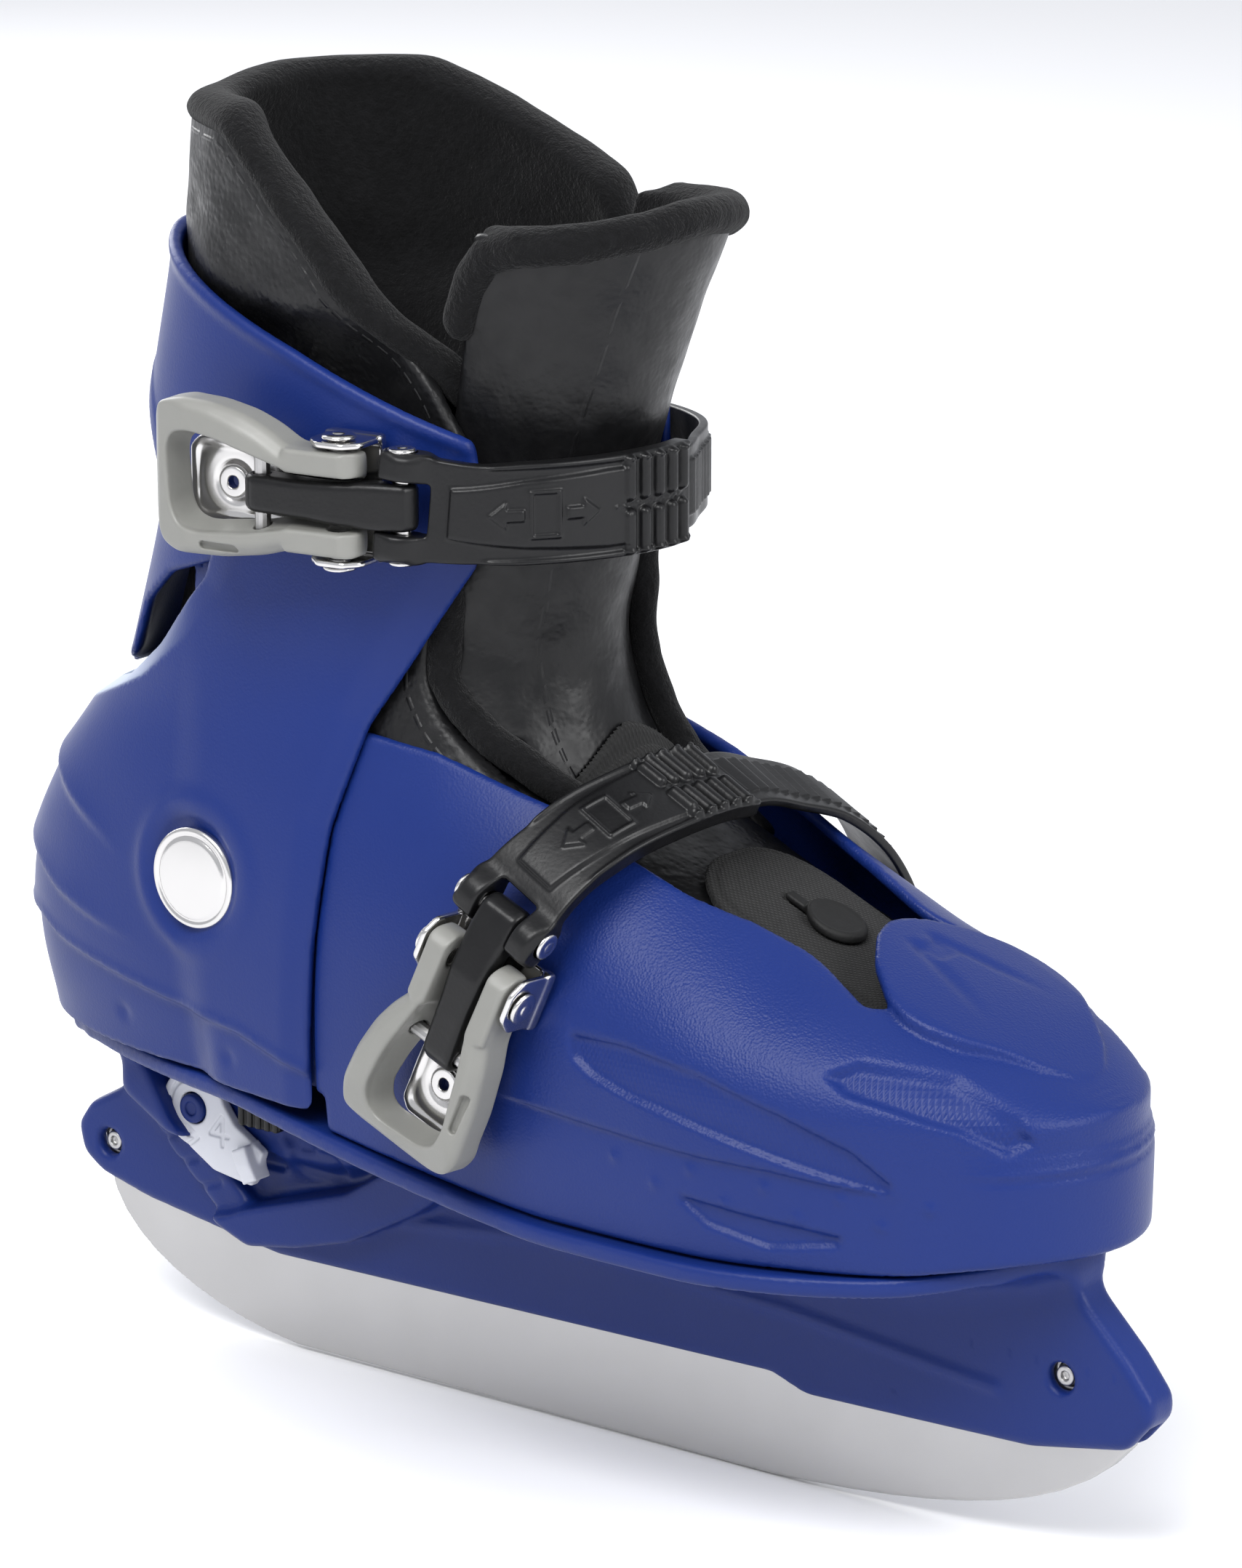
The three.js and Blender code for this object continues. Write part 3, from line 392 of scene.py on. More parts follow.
def blue_paint():
    paint = Paint("blue_plastic", (0.0055, 0.0195, 0.13), 0.4, tint=0.05, tint_size=60, wear=0.04,
                  Specular_IOR_Level=0.24)
    grain = paint.math("MULTIPLY", paint.pebble(0.45), paint.attribute("grain"))
    paint.relief(grain, 0.09)
    paint.relief(paint.noise(0.9, 3), 0.02)
    diamond = paint.math("MINIMUM", paint.stripes(0.9, (0, 24, 0)), paint.stripes(0.9, (0, -24, 0)))
    paint.relief(paint.math("MULTIPLY", diamond, paint.attribute("diamond")), 0.1)
    # Painted highlight: where the mesh attribute marks the heel band, the blue is mixed towards a pale blue-grey,
    # standing in for light on the band round the heel hole.
    highlight_mix = paint.node("ShaderNodeMix", data_type="RGBA")
    paint.join(paint.attribute("band_highlight"), highlight_mix.inputs["Factor"])
    paint.join(paint.colour, highlight_mix.inputs["A"])
    highlight_mix.inputs["B"].default_value = (0.34, 0.40, 0.52, 1)
    paint.join(highlight_mix.outputs["Result"], paint.shader.inputs["Base Color"])
    return paint.material


def steel_paint():
    paint = Paint("blade_steel", (0.47, 0.465, 0.46), 0.36, 1.0, tint=0.06, tint_size=40, wear=0.05)
    paint.relief(paint.noise(0.35, 3, (0.02, 1, 1)), 0.006)
    return paint.material


def chrome_paint():
    paint = Paint("chrome", (0.62, 0.61, 0.60), 0.2, 1.0, tint=0.03, wear=0.04)
    paint.relief(paint.noise(4, 2), 0.03)
    paint.relief(paint.noise(0.5, 2), 0.004)
    return paint.material


def plastic_paint(name, colour, roughness, grain=0.9, depth=0.03, **constants):
    paint = Paint(name, colour, roughness, tint=0.07, tint_size=12, **constants)
    paint.relief(paint.noise(grain, 4), depth)
    paint.relief(paint.pebble(grain * 0.8), depth * 0.6)
    return paint.material


def leather_paint(name="liner_leather", size=1.3, depth=0.16, roughness=0.42, colour=(0.005, 0.005, 0.0055)):
    paint = Paint(name, colour, roughness, tint=0.2, tint_size=9, wear=0.07, Specular_IOR_Level=0.3)
    paint.relief(paint.noise(9, 3), 0.5)
    paint.relief(paint.pebble(size), depth)
    paint.relief(paint.noise(size * 0.4, 2), depth * 0.2)
    across = paint.math("ABSOLUTE", paint.attribute("seam"))
    dash = paint.math("LESS_THAN", paint.math("PINGPONG", paint.attribute("along"), 1.6), 1.1)
    row = paint.ranged(across, 1.0, 0.0, 0.15, 0.5)
    near = paint.math("LESS_THAN", across, 3)
    paint.relief(paint.math("MULTIPLY", paint.math("MULTIPLY", row, dash), near), 0.2)
    return paint.material


def fleece_paint():
    paint = Paint("fleece", (0.005, 0.005, 0.0055), 0.95, tint=0.6, tint_size=1.6, wear=0.03,
                  Sheen_Weight=0.08, Sheen_Roughness=0.5, Specular_IOR_Level=0.12)
    paint.relief(paint.noise(1.1, 4), 0.5)
    paint.relief(paint.noise(0.4, 3), 0.25)
    return paint.material


def cloth_paint(name, colour, thread, turn=(0, 0, 45), depth=0.22):
    paint = Paint(name, colour, 0.85, tint=0.3, tint_size=1.5, wear=0.03, Sheen_Weight=0.05,
                  Specular_IOR_Level=0.2)
    tall = (turn[0], turn[1], turn[2] + 90)
    weave = paint.math("MULTIPLY", paint.stripes(thread, turn), paint.stripes(thread, tall))
    paint.relief(weave, depth)
    paint.relief(paint.noise(0.4, 3), 0.08)
    return paint.material


BLUE = blue_paint()
STEEL = steel_paint()
CHROME = chrome_paint()
BLACK = plastic_paint("black_plastic", (0.0045, 0.0045, 0.005), 0.34, Specular_IOR_Level=0.3)
GREY = plastic_paint("grey_plastic", (0.20, 0.20, 0.185), 0.42, 1.2, 0.02)
WHITE = plastic_paint("white_plastic", (0.55, 0.56, 0.60), 0.35, 1.5, 0.03)
RUBBER = plastic_paint("black_rubber", (0.006, 0.006, 0.006), 0.6, 0.7, 0.05, Specular_IOR_Level=0.3)
LEATHER = leather_paint()
SMOOTH_LEATHER = leather_paint("tongue_leather", 1.0, 0.05, 0.38, (0.0045, 0.0045, 0.005))
FLEECE = fleece_paint()
CANVAS = cloth_paint("canvas", (0.016, 0.016, 0.016), 0.8)


# ---------------------------------------------------------------- the boot's volume
LEG = Curve([(66, -125, 0, 31), (80, -128.5, 0, 34), (93, -129, 0, 35.5), (108, -126, 2, 35.5), (123, -118, 4, 35),
             (138, -107, 8, 34), (165, -99, 8, 33), (190, -93, 9, 32.5), (225, -85, 12, 33)], 4)
CROWN = Curve([(-60, 176), (-10, 160), (12, 146), (42, 125.5), (65, 113), (83, 107), (95, 102.5), (105, 98),
               (112, 93.5), (118, 89.5), (124, 87)], 3)
SOLE = Curve([(-130, 66), (-60, 66), (-20, 61), (20, 56.6), (60, 56.6), (95, 58), (114, 61)], 4)
FOOT_MID, FOOT_HALF, FOOT_REAR, FOOT_FRONT, FOOT_WIDE = 45, 45.5, 176, 77, 86
ANKLE = (-64.5, 107.5)


def foot_field(x, y, z):
    length = np.where(x > FOOT_MID, FOOT_FRONT, FOOT_REAR)
    crown = CROWN(x)
    wide = np.minimum(FOOT_WIDE, crown - 1)
    taper = 1 - 0.06 * np.clip((wide - z) / 30, 0, 1) ** 2
    a = y / (FOOT_HALF * taper)
    b = (x - FOOT_MID) / length
    c = np.maximum(z - wide, 0) / (crown - wide)
    rest = np.maximum(1 - b * b, 0)
    s = np.sqrt(a * a + b * b + c * c * rest + np.maximum(c * c - 1, 0) * (1 - rest))
    slope = 2 * np.sqrt((a / FOOT_HALF) ** 2 + (b / length * (1 - c * c)) ** 2 + (c * rest / (crown - wide)) ** 2)
    distance = np.clip((s - 1) * 2 * s / np.maximum(slope, 1e-4), -60, 200)
    return smooth_max(distance, -62 - x, 6)


def leg_field(x, y, z, corner=2.2):
    rear, front, half = LEG(z, 0), LEG(z, 1), LEG(z, 2)
    reach = (front - rear) / 2
    a, b = np.abs(y) / half, np.abs(x - (front + rear) / 2) / reach
    s = (a ** corner + b ** corner) ** (1 / corner) + 1e-6
    slope = s ** (1 - corner) * np.hypot(a ** (corner - 1) / half, b ** (corner - 1) / reach)
    return np.clip((s - 1) / np.maximum(slope, 1e-4), -60, 200)


def boot(x, y, z):
    return smooth_min(foot_field(x, y, z), leg_field(x, y, z), 8)


CUT_REACH = 0.6


def surface_place(x, y, z, b):
    """Where in the side view the boot's surface lies nearest, and how far that surface turns to X and to Z."""
    near = ((CUT_REACH, 0, 0), (0, CUT_REACH, 0), (0, 0, CUT_REACH))
    slope = [boot(x + i, y + j, z + k) - b for i, j, k in near]
    size = np.sqrt(sum(v * v for v in slope)) + 1e-6
    nx, nz = slope[0] / size, slope[2] / size
    return x - b * nx, z - b * nz, nx, nz


def surface_cut(cut, u, v, nx, nz):
    """A side outline's distance measured along the boot's surface, so that moulded edges come out square to it."""
    here = cut(u, v)
    du, dv = cut(u + CUT_REACH, v) - here, cut(u, v + CUT_REACH) - here
    facing = (nx * du + nz * dv) / (np.hypot(du, dv) + 1e-6)
    return here / np.sqrt(np.maximum(1 - facing * facing, 0.04))


# ---------------------------------------------------------------- front shell
FRONT = side_outline([(-61, 70), (-33, 70), (-33, 40), (140, 40), (140, 130), (86, 130), (84.5, 104), (80, 104.5),
                      (72, 108), (54, 115.5), (42, 119.5), (14, 132), (-12, 139), (-30, 141), (-54, 139), (-54, 96),
                      (-61, 92)])
SCOOP = [(82, 95), (86, 97), (95, 96), (101, 95), (107, 92), (113, 88.5), (115, 84), (112, 82.5), (105, 87), (94, 90.5),
         (86, 92.5)]
SIDE_PANEL = [(30, 95), (42, 95), (58, 92.5), (75, 87.5), (88, 82), (95, 76), (94, 74.5), (89, 75.5), (68, 80.5),
              (51, 84.5), (43, 86), (35, 88.5), (31, 91)]
LEAF = [(54, 68.5), (60, 64), (72, 61.5), (85, 63.5), (86, 65), (78, 66), (68, 67)]
CREASE_LINE = [(14, 80), (43, 78), (59, 77), (73, 76.5), (95, 74)]
DOTS = [(57, 74), (49, 70), (72, 73), (64, 69), (78, 68), (86, 72.5), (93, 68), (101, 72), (40, 73.5)]


def recess(u, v, points, depth, slope):
    return -depth * smooth_step(0.5 - outline(u, v, points) / slope)


DEEPEST = 1.7                    # how far a recess may cut into the wall


def front_side_relief(u, v):
    relief = recess(u, v, SCOOP, 1.7, 1.5) + recess(u, v, SIDE_PANEL, 1.3, 1.0) + recess(u, v, LEAF, 1.4, 1.0)
    line = np.interp(u, [p[0] for p in CREASE_LINE], [p[1] for p in CREASE_LINE])
    below = smooth_step((line - v) / 0.9 + 0.5) * np.exp(-np.maximum(line - v, 0) / 12)
    relief = relief - 1.2 * below * smooth_step((u - 10) / 10) * smooth_step((98 - u) / 8)
    for cu, cv in DOTS:
        relief = relief + 0.7 * np.exp(-((u - cu) ** 2 + (v - cv) ** 2) / 0.8)
    bumper = smooth_step((79.5 - v) / 1.5 + 0.5) - 0.5 * np.exp(-((v - 77.4) / 0.6) ** 2)
    relief = relief + 1.0 * bumper * smooth_step((u - 103) / 9)
    relief = relief + 0.5 * np.exp(-((v - 80.6) / 0.8) ** 2) * smooth_step((u - 103) / 9)
    return np.maximum(relief, -DEEPEST)


def recess_back(u, v):
    """The wall's inner face bulges in behind the recesses and a little beyond them."""
    near = np.minimum(np.minimum(outline(u, v, SCOOP), outline(u, v, SIDE_PANEL)), outline(u, v, LEAF))
    return 1.9 * smooth_step(0.5 - (near - 3) / 3)


FRONT_RELIEF = Map(front_side_relief, SIDE_LOW, SIDE_HIGH)
RECESS_BACK = Map(recess_back, SIDE_LOW, SIDE_HIGH)
TAB = [(69, 1), (71, -6), (76, -13.5), (83, -19.5), (88, -21.5), (93, -21), (99, -18.5), (104, -14), (110, -9),
       (114, -3.5), (115, 1), (114, 5.5), (110, 11), (104, 16), (99, 20.5), (93, 23), (88, 23.5), (83, 21.5),
       (76, 15.5), (71, 8)]


def tab_relief(u, v):
    relief = 0.0
    for sign in (1, -1):
        groove = path_distance(u, v, [(77, 1 + sign * 3), (88, 1 + sign * 6.5), (100, 1 + sign * 11)])
        relief = relief - 0.9 * np.exp(-(groove / 1.3) ** 2) * smooth_step((101 - u) / 14)
    relief = relief - 0.8 * smooth_step(0.5 - (np.maximum(np.abs(u - 80), np.abs(v - 1)) - 2.6) / 1.2)
    return relief


PLAN_LOW, PLAN_HIGH = (40, -50), (140, 50)
TAB_EDGE = Map(lambda u, v: outline(u, v, TAB), PLAN_LOW, PLAN_HIGH, 1.0)
TAB_RELIEF = Map(tab_relief, PLAN_LOW, PLAN_HIGH)
WALL = 2.6
LAP = side_outline([(-90, 20), (-37, 20), (-35.5, 100), (-33.5, 122), (-27.5, 145), (-27.5, 200), (-90, 200)])


def front_shell(x, y, z):
    b = boot(x, y, z)
    u, v, nx, nz = surface_place(x, y, z, b)
    outer = b - FRONT_RELIEF(u, v)
    outer = smooth_max(outer, np.minimum(b + 1.4, b + 1.4 - LAP(x, z)), 0.3)
    shell = smooth_max(outer, -(b + WALL + RECESS_BACK(u, v)), 0.4)
    shell = smooth_max(shell, surface_cut(FRONT, u, v, nx, nz), 1.4)
    tab = smooth_max(b - 2.3 - TAB_RELIEF(x, y), -(b + 0.6), 1.0)
    tab = smooth_max(smooth_max(tab, TAB_EDGE(x, y), 1.0), 85 - z, 1)
    shell = smooth_min(shell, tab, 0.4)
    return smooth_max(shell, SOLE(x) + 0.3 - z, 1.2)


def shell_marks(piece, vertices, first, second, names=("grain", "diamond")):
    """Two values kept with the mesh for its material: where the moulded grain and the diamond pattern show, where the
    painted highlight lies on the heel band, or seams.
    """
    for name, values in zip(names, (first, second)):
        layer = piece.data.attributes.new(name, "FLOAT", "POINT")
        layer.data.foreach_set("value", np.asarray(values, np.float32) * np.ones(len(vertices), np.float32))


def build_front_shell():
    vertices, quads = mesh_field(front_shell, (-62, -48, 54), (124, 48, 142), SHELL_STEP)
    piece = make_piece("front_shell_skin", vertices, quads, BLUE, "chassis", "front_shell")
    x, y, z = vertices.T
    u, v = surface_place(x, y, z, boot(x, y, z))[:2]
    grain = 0.45 + 0.55 * smooth_step((x - 10) / 40) * smooth_step((z - 74) / 12)
    marked = np.maximum(smooth_step(-outline(u, v, SCOOP) / 1.5), 0.6 * smooth_step(-outline(u, v, SIDE_PANEL) / 1.5))
    shell_marks(piece, vertices, grain * (1 - marked), marked)


# ---------------------------------------------------------------- heel shell
HEEL = side_outline([(-150, 67.6), (-35.5, 66.4), (-34, 100), (-32, 122), (-26, 142), (-7, 174), (-5, 189),
                     (-34, 189), (-39, 178.5), (-62, 178.5), (-66.5, 165), (-74, 157), (-84, 148), (-95, 140),
                     (-108, 135.5), (-150, 135.5)], 0.9)
HEEL_STEP = [(-140, 90), (-114, 88), (-107, 86), (-93, 84), (-74, 81), (-53, 79), (-35, 74)]
HEEL_RIDGES = [([(-140, 124), (-114, 118), (-100, 113), (-92, 110), (-80, 104)], -84),
               ([(-140, 106), (-116, 100), (-106, 96), (-93, 93), (-76, 90)], -79)]
HOLE_CREASE = [(-125, 124), (-106, 131), (-84, 142), (-71, 152), (-61, 162), (-55, 172), (-52, 184)]
HOLE_EDGE = [(-150, 135.5), (-108, 135.5), (-95, 140), (-84, 148), (-74, 157), (-66.5, 165), (-62.5, 178)]


HOLE_SIDE = HOLE_CREASE + [(-40, 200), (-150, 200), (-150, 124)]
HEEL_FRONT = [(-35.5, 60), (-34, 100), (-32, 122), (-26, 142), (-7, 174), (-5, 189)]


def hole_band(u, v):
    """The band slopes in from its crease to the hole's edge, less deep in front, where the cuff's panel passes."""
    inner = path_distance(u, v, HOLE_EDGE)
    outer = path_distance(u, v, HOLE_CREASE)
    strip = outline(u, v, HOLE_EDGE + HOLE_CREASE[::-1]) < 0
    slope = np.where(strip, outer / (inner + outer + 0.01), 1)
    depth = 1.2 + 2.2 * smooth_step((-70 - u) / 14)
    return np.where(outline(u, v, HOLE_SIDE) < 0, slope * depth, 0)


HEEL_BAND = Map(hole_band, SIDE_LOW, SIDE_HIGH, 0.35)
HEEL_LIP = Map(lambda u, v: 0.35 * smooth_step(1 - path_distance(u, v, HEEL_FRONT) / 3), SIDE_LOW, SIDE_HIGH)


def heel_side_relief(u, v):
    def above(path):
        return v - np.interp(u, [p[0] for p in path], [p[1] for p in path])

    step = above(HEEL_STEP)
    relief = -0.9 * smooth_step(0.5 - step / 1.3) + 0.45 * np.exp(-((step - 0.9) / 1.0) ** 2)
    for path, end in HEEL_RIDGES:
        gap = above(path)
        relief = relief + 1.5 * smooth_step(gap / 1.6 + 0.5) * np.exp(-np.maximum(gap, 0) / 7) * \
            smooth_step((end - u) / 26)
    r = np.hypot(u - ANKLE[0], v - ANKLE[1])
    relief = relief + 0.9 * np.exp(-((r - 14.6) / 2.1) ** 2) * (0.35 + 0.65 * smooth_step((-60 - u) / 12))
    relief = relief - 0.9 * smooth_step((12.2 - r) / 2)
    relief = relief - HEEL_BAND(u, v)
    relief = relief - 1.2 * smooth_step(1 - path_distance(u, v, HEEL_FRONT) / 7)
    for cu, cv in ((-89, 75), (-57, 73)):
        relief = relief - 0.6 * np.exp(-((u - cu) ** 2 + (v - cv) ** 2) / 2.5)
    return relief


HEEL_RELIEF = Map(heel_side_relief, SIDE_LOW, SIDE_HIGH, 0.35)


def heel_shell(x, y, z):
    b = boot(x, y, z)
    u, v, nx, nz = surface_place(x, y, z, b)
    inner = 0.5 - np.maximum(HEEL_BAND(u, v) - 0.3, 0) - HEEL_LIP(u, v)
    shell = smooth_max(b - 3.1 - HEEL_RELIEF(u, v), inner - b, 0.4)
    return smooth_max(shell, surface_cut(HEEL, u, v, nx, nz), 0.8)


def build_heel_shell():
    vertices, quads = mesh_field(heel_shell, (-136, -42, 64), (0, 42, 192), SHELL_STEP)
    piece = make_piece("heel_shell_skin", vertices, quads, BLUE, "heel", "heel_shell")
    x, y, z = vertices.T
    u, v = surface_place(x, y, z, boot(x, y, z))[:2]
    # The second mesh value paints a pale highlight onto the band round the heel hole. It is strongest at the rear and
    # fades out towards the front.
    band = smooth_step(0.5 - outline(u, v, HOLE_SIDE) / 0.8)
    shell_marks(piece, vertices, 0.3, band * smooth_step((-66 - u) / 38), ("grain", "band_highlight"))


# ---------------------------------------------------------------- cuff
CREASE = [(-120, 209), (-101, 207), (-92, 199), (-84, 190), (-76, 180)]
BAND = side_outline(CREASE + [(-6, 178), (-2, 183), (-4, 199), (-40, 213), (-88, 229), (-120, 230)], 0.9)
PANEL = side_outline([(-120, 136.5), (-108, 137), (-97, 143), (-92, 154), (-81, 162.5), (-68, 167), (-60, 170),
                      (-60, 184), (-73, 184), (-81, 194), (-89, 203), (-98, 211), (-120, 213)], 1.0)
ARM = side_outline([(-74, 110), (-76, 168), (-76, 184), (-60, 184), (-60, 168), (-55, 110)])
CUFF_RIM = [(-120, 230), (-88, 229), (-40, 213), (-4, 199)]


def cuff_side_relief(u, v):
    rim = path_distance(u, v, CUFF_RIM)
    return 0.5 * smooth_step((3.2 - rim) / 1.2)


CUFF_RELIEF = Map(cuff_side_relief, SIDE_LOW, SIDE_HIGH, 0.4)


def cuff_shell(x, y, z):
    b = boot(x, y, z)
    band = smooth_max(smooth_max(b - 5.9 - CUFF_RELIEF(x, z), 3.7 - b, 0.4), BAND(x, z), 1.4)
    spine = 1.6 * np.exp(-((np.abs(y) - 6) / 1.6) ** 2) + 1.2 * smooth_step((6 - np.abs(y)) / 2)
    panel = smooth_max(smooth_max(b - 0.2 - spine, -(b + 2.4), 0.4), PANEL(x, z), 1.6)
    step = smooth_max(smooth_max(b - 5.9, -(b + 2.2), 0.4), np.abs(BAND(x, z) + 1.6) - 1.6, 0.8)
    step = smooth_max(step, x + 70, 1)
    step = smooth_max(step, z - 211, 1)
    cuff = smooth_min(smooth_min(band, step, 1.2), panel, 1.6)
    r = np.hypot(x - ANKLE[0], z - ANKLE[1])
    arm = smooth_max(np.minimum(ARM(x, z), r - 10.5), np.abs(b + 3.9) - 0.9, 0.4)
    link = smooth_max(np.maximum(np.abs(x + 68) - 7, np.abs(z - 177.5) - 5.5), np.abs(b + 2.4) - 2.4, 0.6)
    cuff = np.minimum(cuff, smooth_max(np.minimum(arm, link), 4.3 - r, 0.3))
    return cuff


def build_cuff():
    vertices, quads = mesh_field(cuff_shell, (-120, -42, 95), (4, 42, 232), SHELL_STEP)
    piece = make_piece("cuff_skin", vertices, quads, BLUE, "cuff", "cuff")
    shell_marks(piece, vertices, 0.3, 0)


# ---------------------------------------------------------------- blade and its holder
HOLDER = side_outline([(-122, 27.6), (-110, 24.5), (-76, 19.4), (46, 21.4), (54, 18.6), (105, 19.8), (126, 23.6),
                       (131.5, 30), (131.5, 34), (126, 41), (117, 50), (111, 59), (95, 56), (60, 54), (20, 54),
                       (-20, 58.5), (-60, 63), (-110, 63), (-112, 51), (-117, 46.5), (-125, 42), (-128.5, 37),
                       (-127, 31)], 1.0)
RAIL = side_outline([(-108, 50), (-96, 43), (-60, 43), (-40, 48), (30, 46), (80, 48), (104, 56), (95, 56), (60, 54),
                     (20, 54), (-20, 58.5), (-60, 63), (-108, 63)], 1.0)
BRACE = side_outline([(-115, 63), (-112, 58), (-106, 44.5), (-100, 37.5), (-86, 25.5), (-78, 22.5), (-66, 24.5),
                      (-52, 28.5), (-35.5, 37.5), (-22, 47), (-20, 60), (-28, 58), (-35, 50.5), (-52, 39.5),
                      (-64, 35.5), (-79, 30.5), (-95, 46.5), (-100, 55.5), (-102, 63)], 0.8)
POCKET = side_outline([(-103, 59), (-100, 55.5), (-95, 46.5), (-79, 30.5), (-64, 35.5), (-52, 39.5), (-35, 50.5),
                       (-32, 56), (-58, 61)], 0.6)
SLOT = side_outline([(-140, 0), (140, 0), (140, 23), (124, 31.5), (117, 42), (106, 42), (102, 32), (-109, 32),
                     (-112.5, 41), (-125, 40), (-140, 31)], 0)
BOLTS = [(-119.5, 34.5), (112, 35)]
LEVER_HUB = (-91, 49)
LEVER_SWEEP = 23                 # the size lever's arm passes in front of the brace within this radius
TICKS = [(-109, 55.5), (-105.5, 51.5), (-103.5, 45.5), (-99.5, 41), (-96.5, 36), (-91, 32)]


def holder_side_relief(u, v):
    relief = 0.9 * np.exp(-(path_distance(u, v, [(-46, 33), (-8, 37), (50, 35), (98, 30)]) / 1.2) ** 2)
    relief = relief - 0.8 * smooth_step(0.5 - (path_distance(u, v, [(-30, 45), (20, 45), (70, 46)]) - 3) / 1.5)
    for cu, cv, long, tall in ((-77, 40, 5.5, 2.2), (-66, 47, 4, 2.5), (-62, 42, 6.5, 3)):
        spot = np.hypot(np.maximum(np.abs(u - cu) - long + tall, 0), v - cv) - tall
        relief = relief - 1.2 * smooth_step(0.5 - spot / 1.0)
    return relief


HOLDER_RELIEF = Map(holder_side_relief, SIDE_LOW, SIDE_HIGH, 0.35)


def tick_relief(u, v):
    relief = 0.0
    for cu, cv in TICKS:
        relief = relief - 0.7 * np.exp(-(path_distance(u, v, [(cu - 4, cv - 1.5), (cu + 4, cv + 1.5)]) / 0.7) ** 2)
    return relief


TICK_RELIEF = Map(tick_relief, SIDE_LOW, SIDE_HIGH)


def sole_plate(x, y, z, grow=0.0):
    length = np.where(x > 50, 63.5, 178) + grow
    a, b = y / (45.5 + grow), (x - 50) / length
    s = np.hypot(a, b)
    slope = np.hypot(a / 45.5, b / length) / np.maximum(s, 1e-3)
    plan = (s - 1) / np.maximum(slope, 1e-3)
    return slab_field(plan, z - SOLE(x), -4, 0, 1.4)


def blade_holder(x, y, z):
    side = np.abs(y)
    web = smooth_max(HOLDER(x, z), side - 4.5 - HOLDER_RELIEF(x, z), 2.2)
    rail = smooth_max(RAIL(x, z), side - 14.5, 3)
    body = smooth_min(web, rail, 9)
    swept = smooth_step((LEVER_SWEEP - np.hypot(x - LEVER_HUB[0], z - LEVER_HUB[1])) / 2) * (y < 0)
    brace = smooth_max(BRACE(x, z), side - 11.5 + 3.3 * swept - TICK_RELIEF(x, z), 2.0)
    body = smooth_min(body, brace, 1.5)
    body = smooth_min(body, sole_plate(x, y, z), 7)
    pocket = smooth_max(POCKET(x, z), 8.4 + HOLDER_RELIEF(x, z) - side, 1.0)
    body = smooth_max(body, -pocket, 1.2)
    body = smooth_max(body, z - SOLE(x), 1.0)
    body = smooth_max(body, -smooth_max(SLOT(x, z), side - 1.7, 0.2), 0.4)
    for cx, cz in BOLTS:
        body = smooth_max(body, 2.9 - np.hypot(x - cx, z - cz), 0.8)
    return body


def build_holder():
    vertices, quads = mesh_field(blade_holder, (-130, -47, 17), (133, 47, 67), SHELL_STEP)
    piece = make_piece("blade_holder_body", vertices, quads, BLUE, "chassis", "blade_holder")
    shell_marks(piece, vertices, 0.3, 0)


def blade_edge():
    """The blade's outline: two round ends, a flat running edge and the two hangers that its bolts pass through."""
    def bend(a, b, c, d, n=12):
        for t in np.linspace(0, 1, n)[:-1]:
            k = (1 - t) ** 3, 3 * t * (1 - t) ** 2, 3 * t * t * (1 - t), t ** 3
            yield tuple(sum(w * p[i] for w, p in zip(k, (a, b, c, d))) for i in (0, 1))

    points = list(bend((-122, 28), (-119, 12), (-92, 1), (-66, 0)))
    points += list(bend((44, 0), (80, 1.5), (112, 6), (125.5, 23.5)))
    return points + [(125.5, 23.5), (124, 30), (117, 41), (107, 41), (103, 31), (-110, 31), (-113, 40), (-124, 39)]


BLADE = side_outline(blade_edge(), 0)


def blade(x, y, z):
    flat = BLADE(x, z)
    field = smooth_max(flat, np.abs(y) - 1.5, 0.5)
    for cx, cz in BOLTS:
        field = np.maximum(field, 2.3 - np.hypot(x - cx, z - cz))
    return field


def build_blade():
    vertices, quads = mesh_field(blade, (-125, -2, 0), (127, 2, 42), 0.6)
    make_piece("blade_steel_runner", vertices, quads, STEEL, "chassis", "blade")


# ---------------------------------------------------------------- pins, screws, ankle caps and size lever
def blade_pin(cx, cz):
    def field(x, y, z):
        r, w = np.hypot(x - cx, z - cz), np.abs(y)
        return smooth_max(smooth_max(r - 2, w - 3.1, 0.5), 0.9 - np.maximum(r, 3.1 - w), 0.2)
    return field


def sole_screw(cx, cy, low):
    def field(x, y, z):
        r, up = np.hypot(x - cx, y - cy), z - low
        head = smooth_max(r - 4, np.abs(up - 1.2) - 1.2 + 0.04 * r * r, 0.4)
        cross = np.minimum(np.maximum(np.abs(x - cx) - 0.5, np.abs(y - cy) - 2.2),
                           np.maximum(np.abs(y - cy) - 0.5, np.abs(x - cx) - 2.2))
        shank = np.maximum(r - 1.7 - 0.15 * np.sin(up * 5), np.abs(up + 3.5) - 3.6)
        return np.minimum(smooth_max(head, -np.maximum(cross, 1 - up), 0.2), shank)
    return field


def ankle_cap(sign):
    wall = LEG(ANKLE[1], 2) + 3.7

    def field(x, y, z):
        r, out = np.hypot(x - ANKLE[0], z - ANKLE[1]), sign * y - wall
        dome = out - 2.2 + 0.006 * r * r + 0.35 * np.exp(-((r - 8.4) / 0.45) ** 2)
        return smooth_max(smooth_max(r - 10, dome, 0.9), -out, 0.3)
    return field


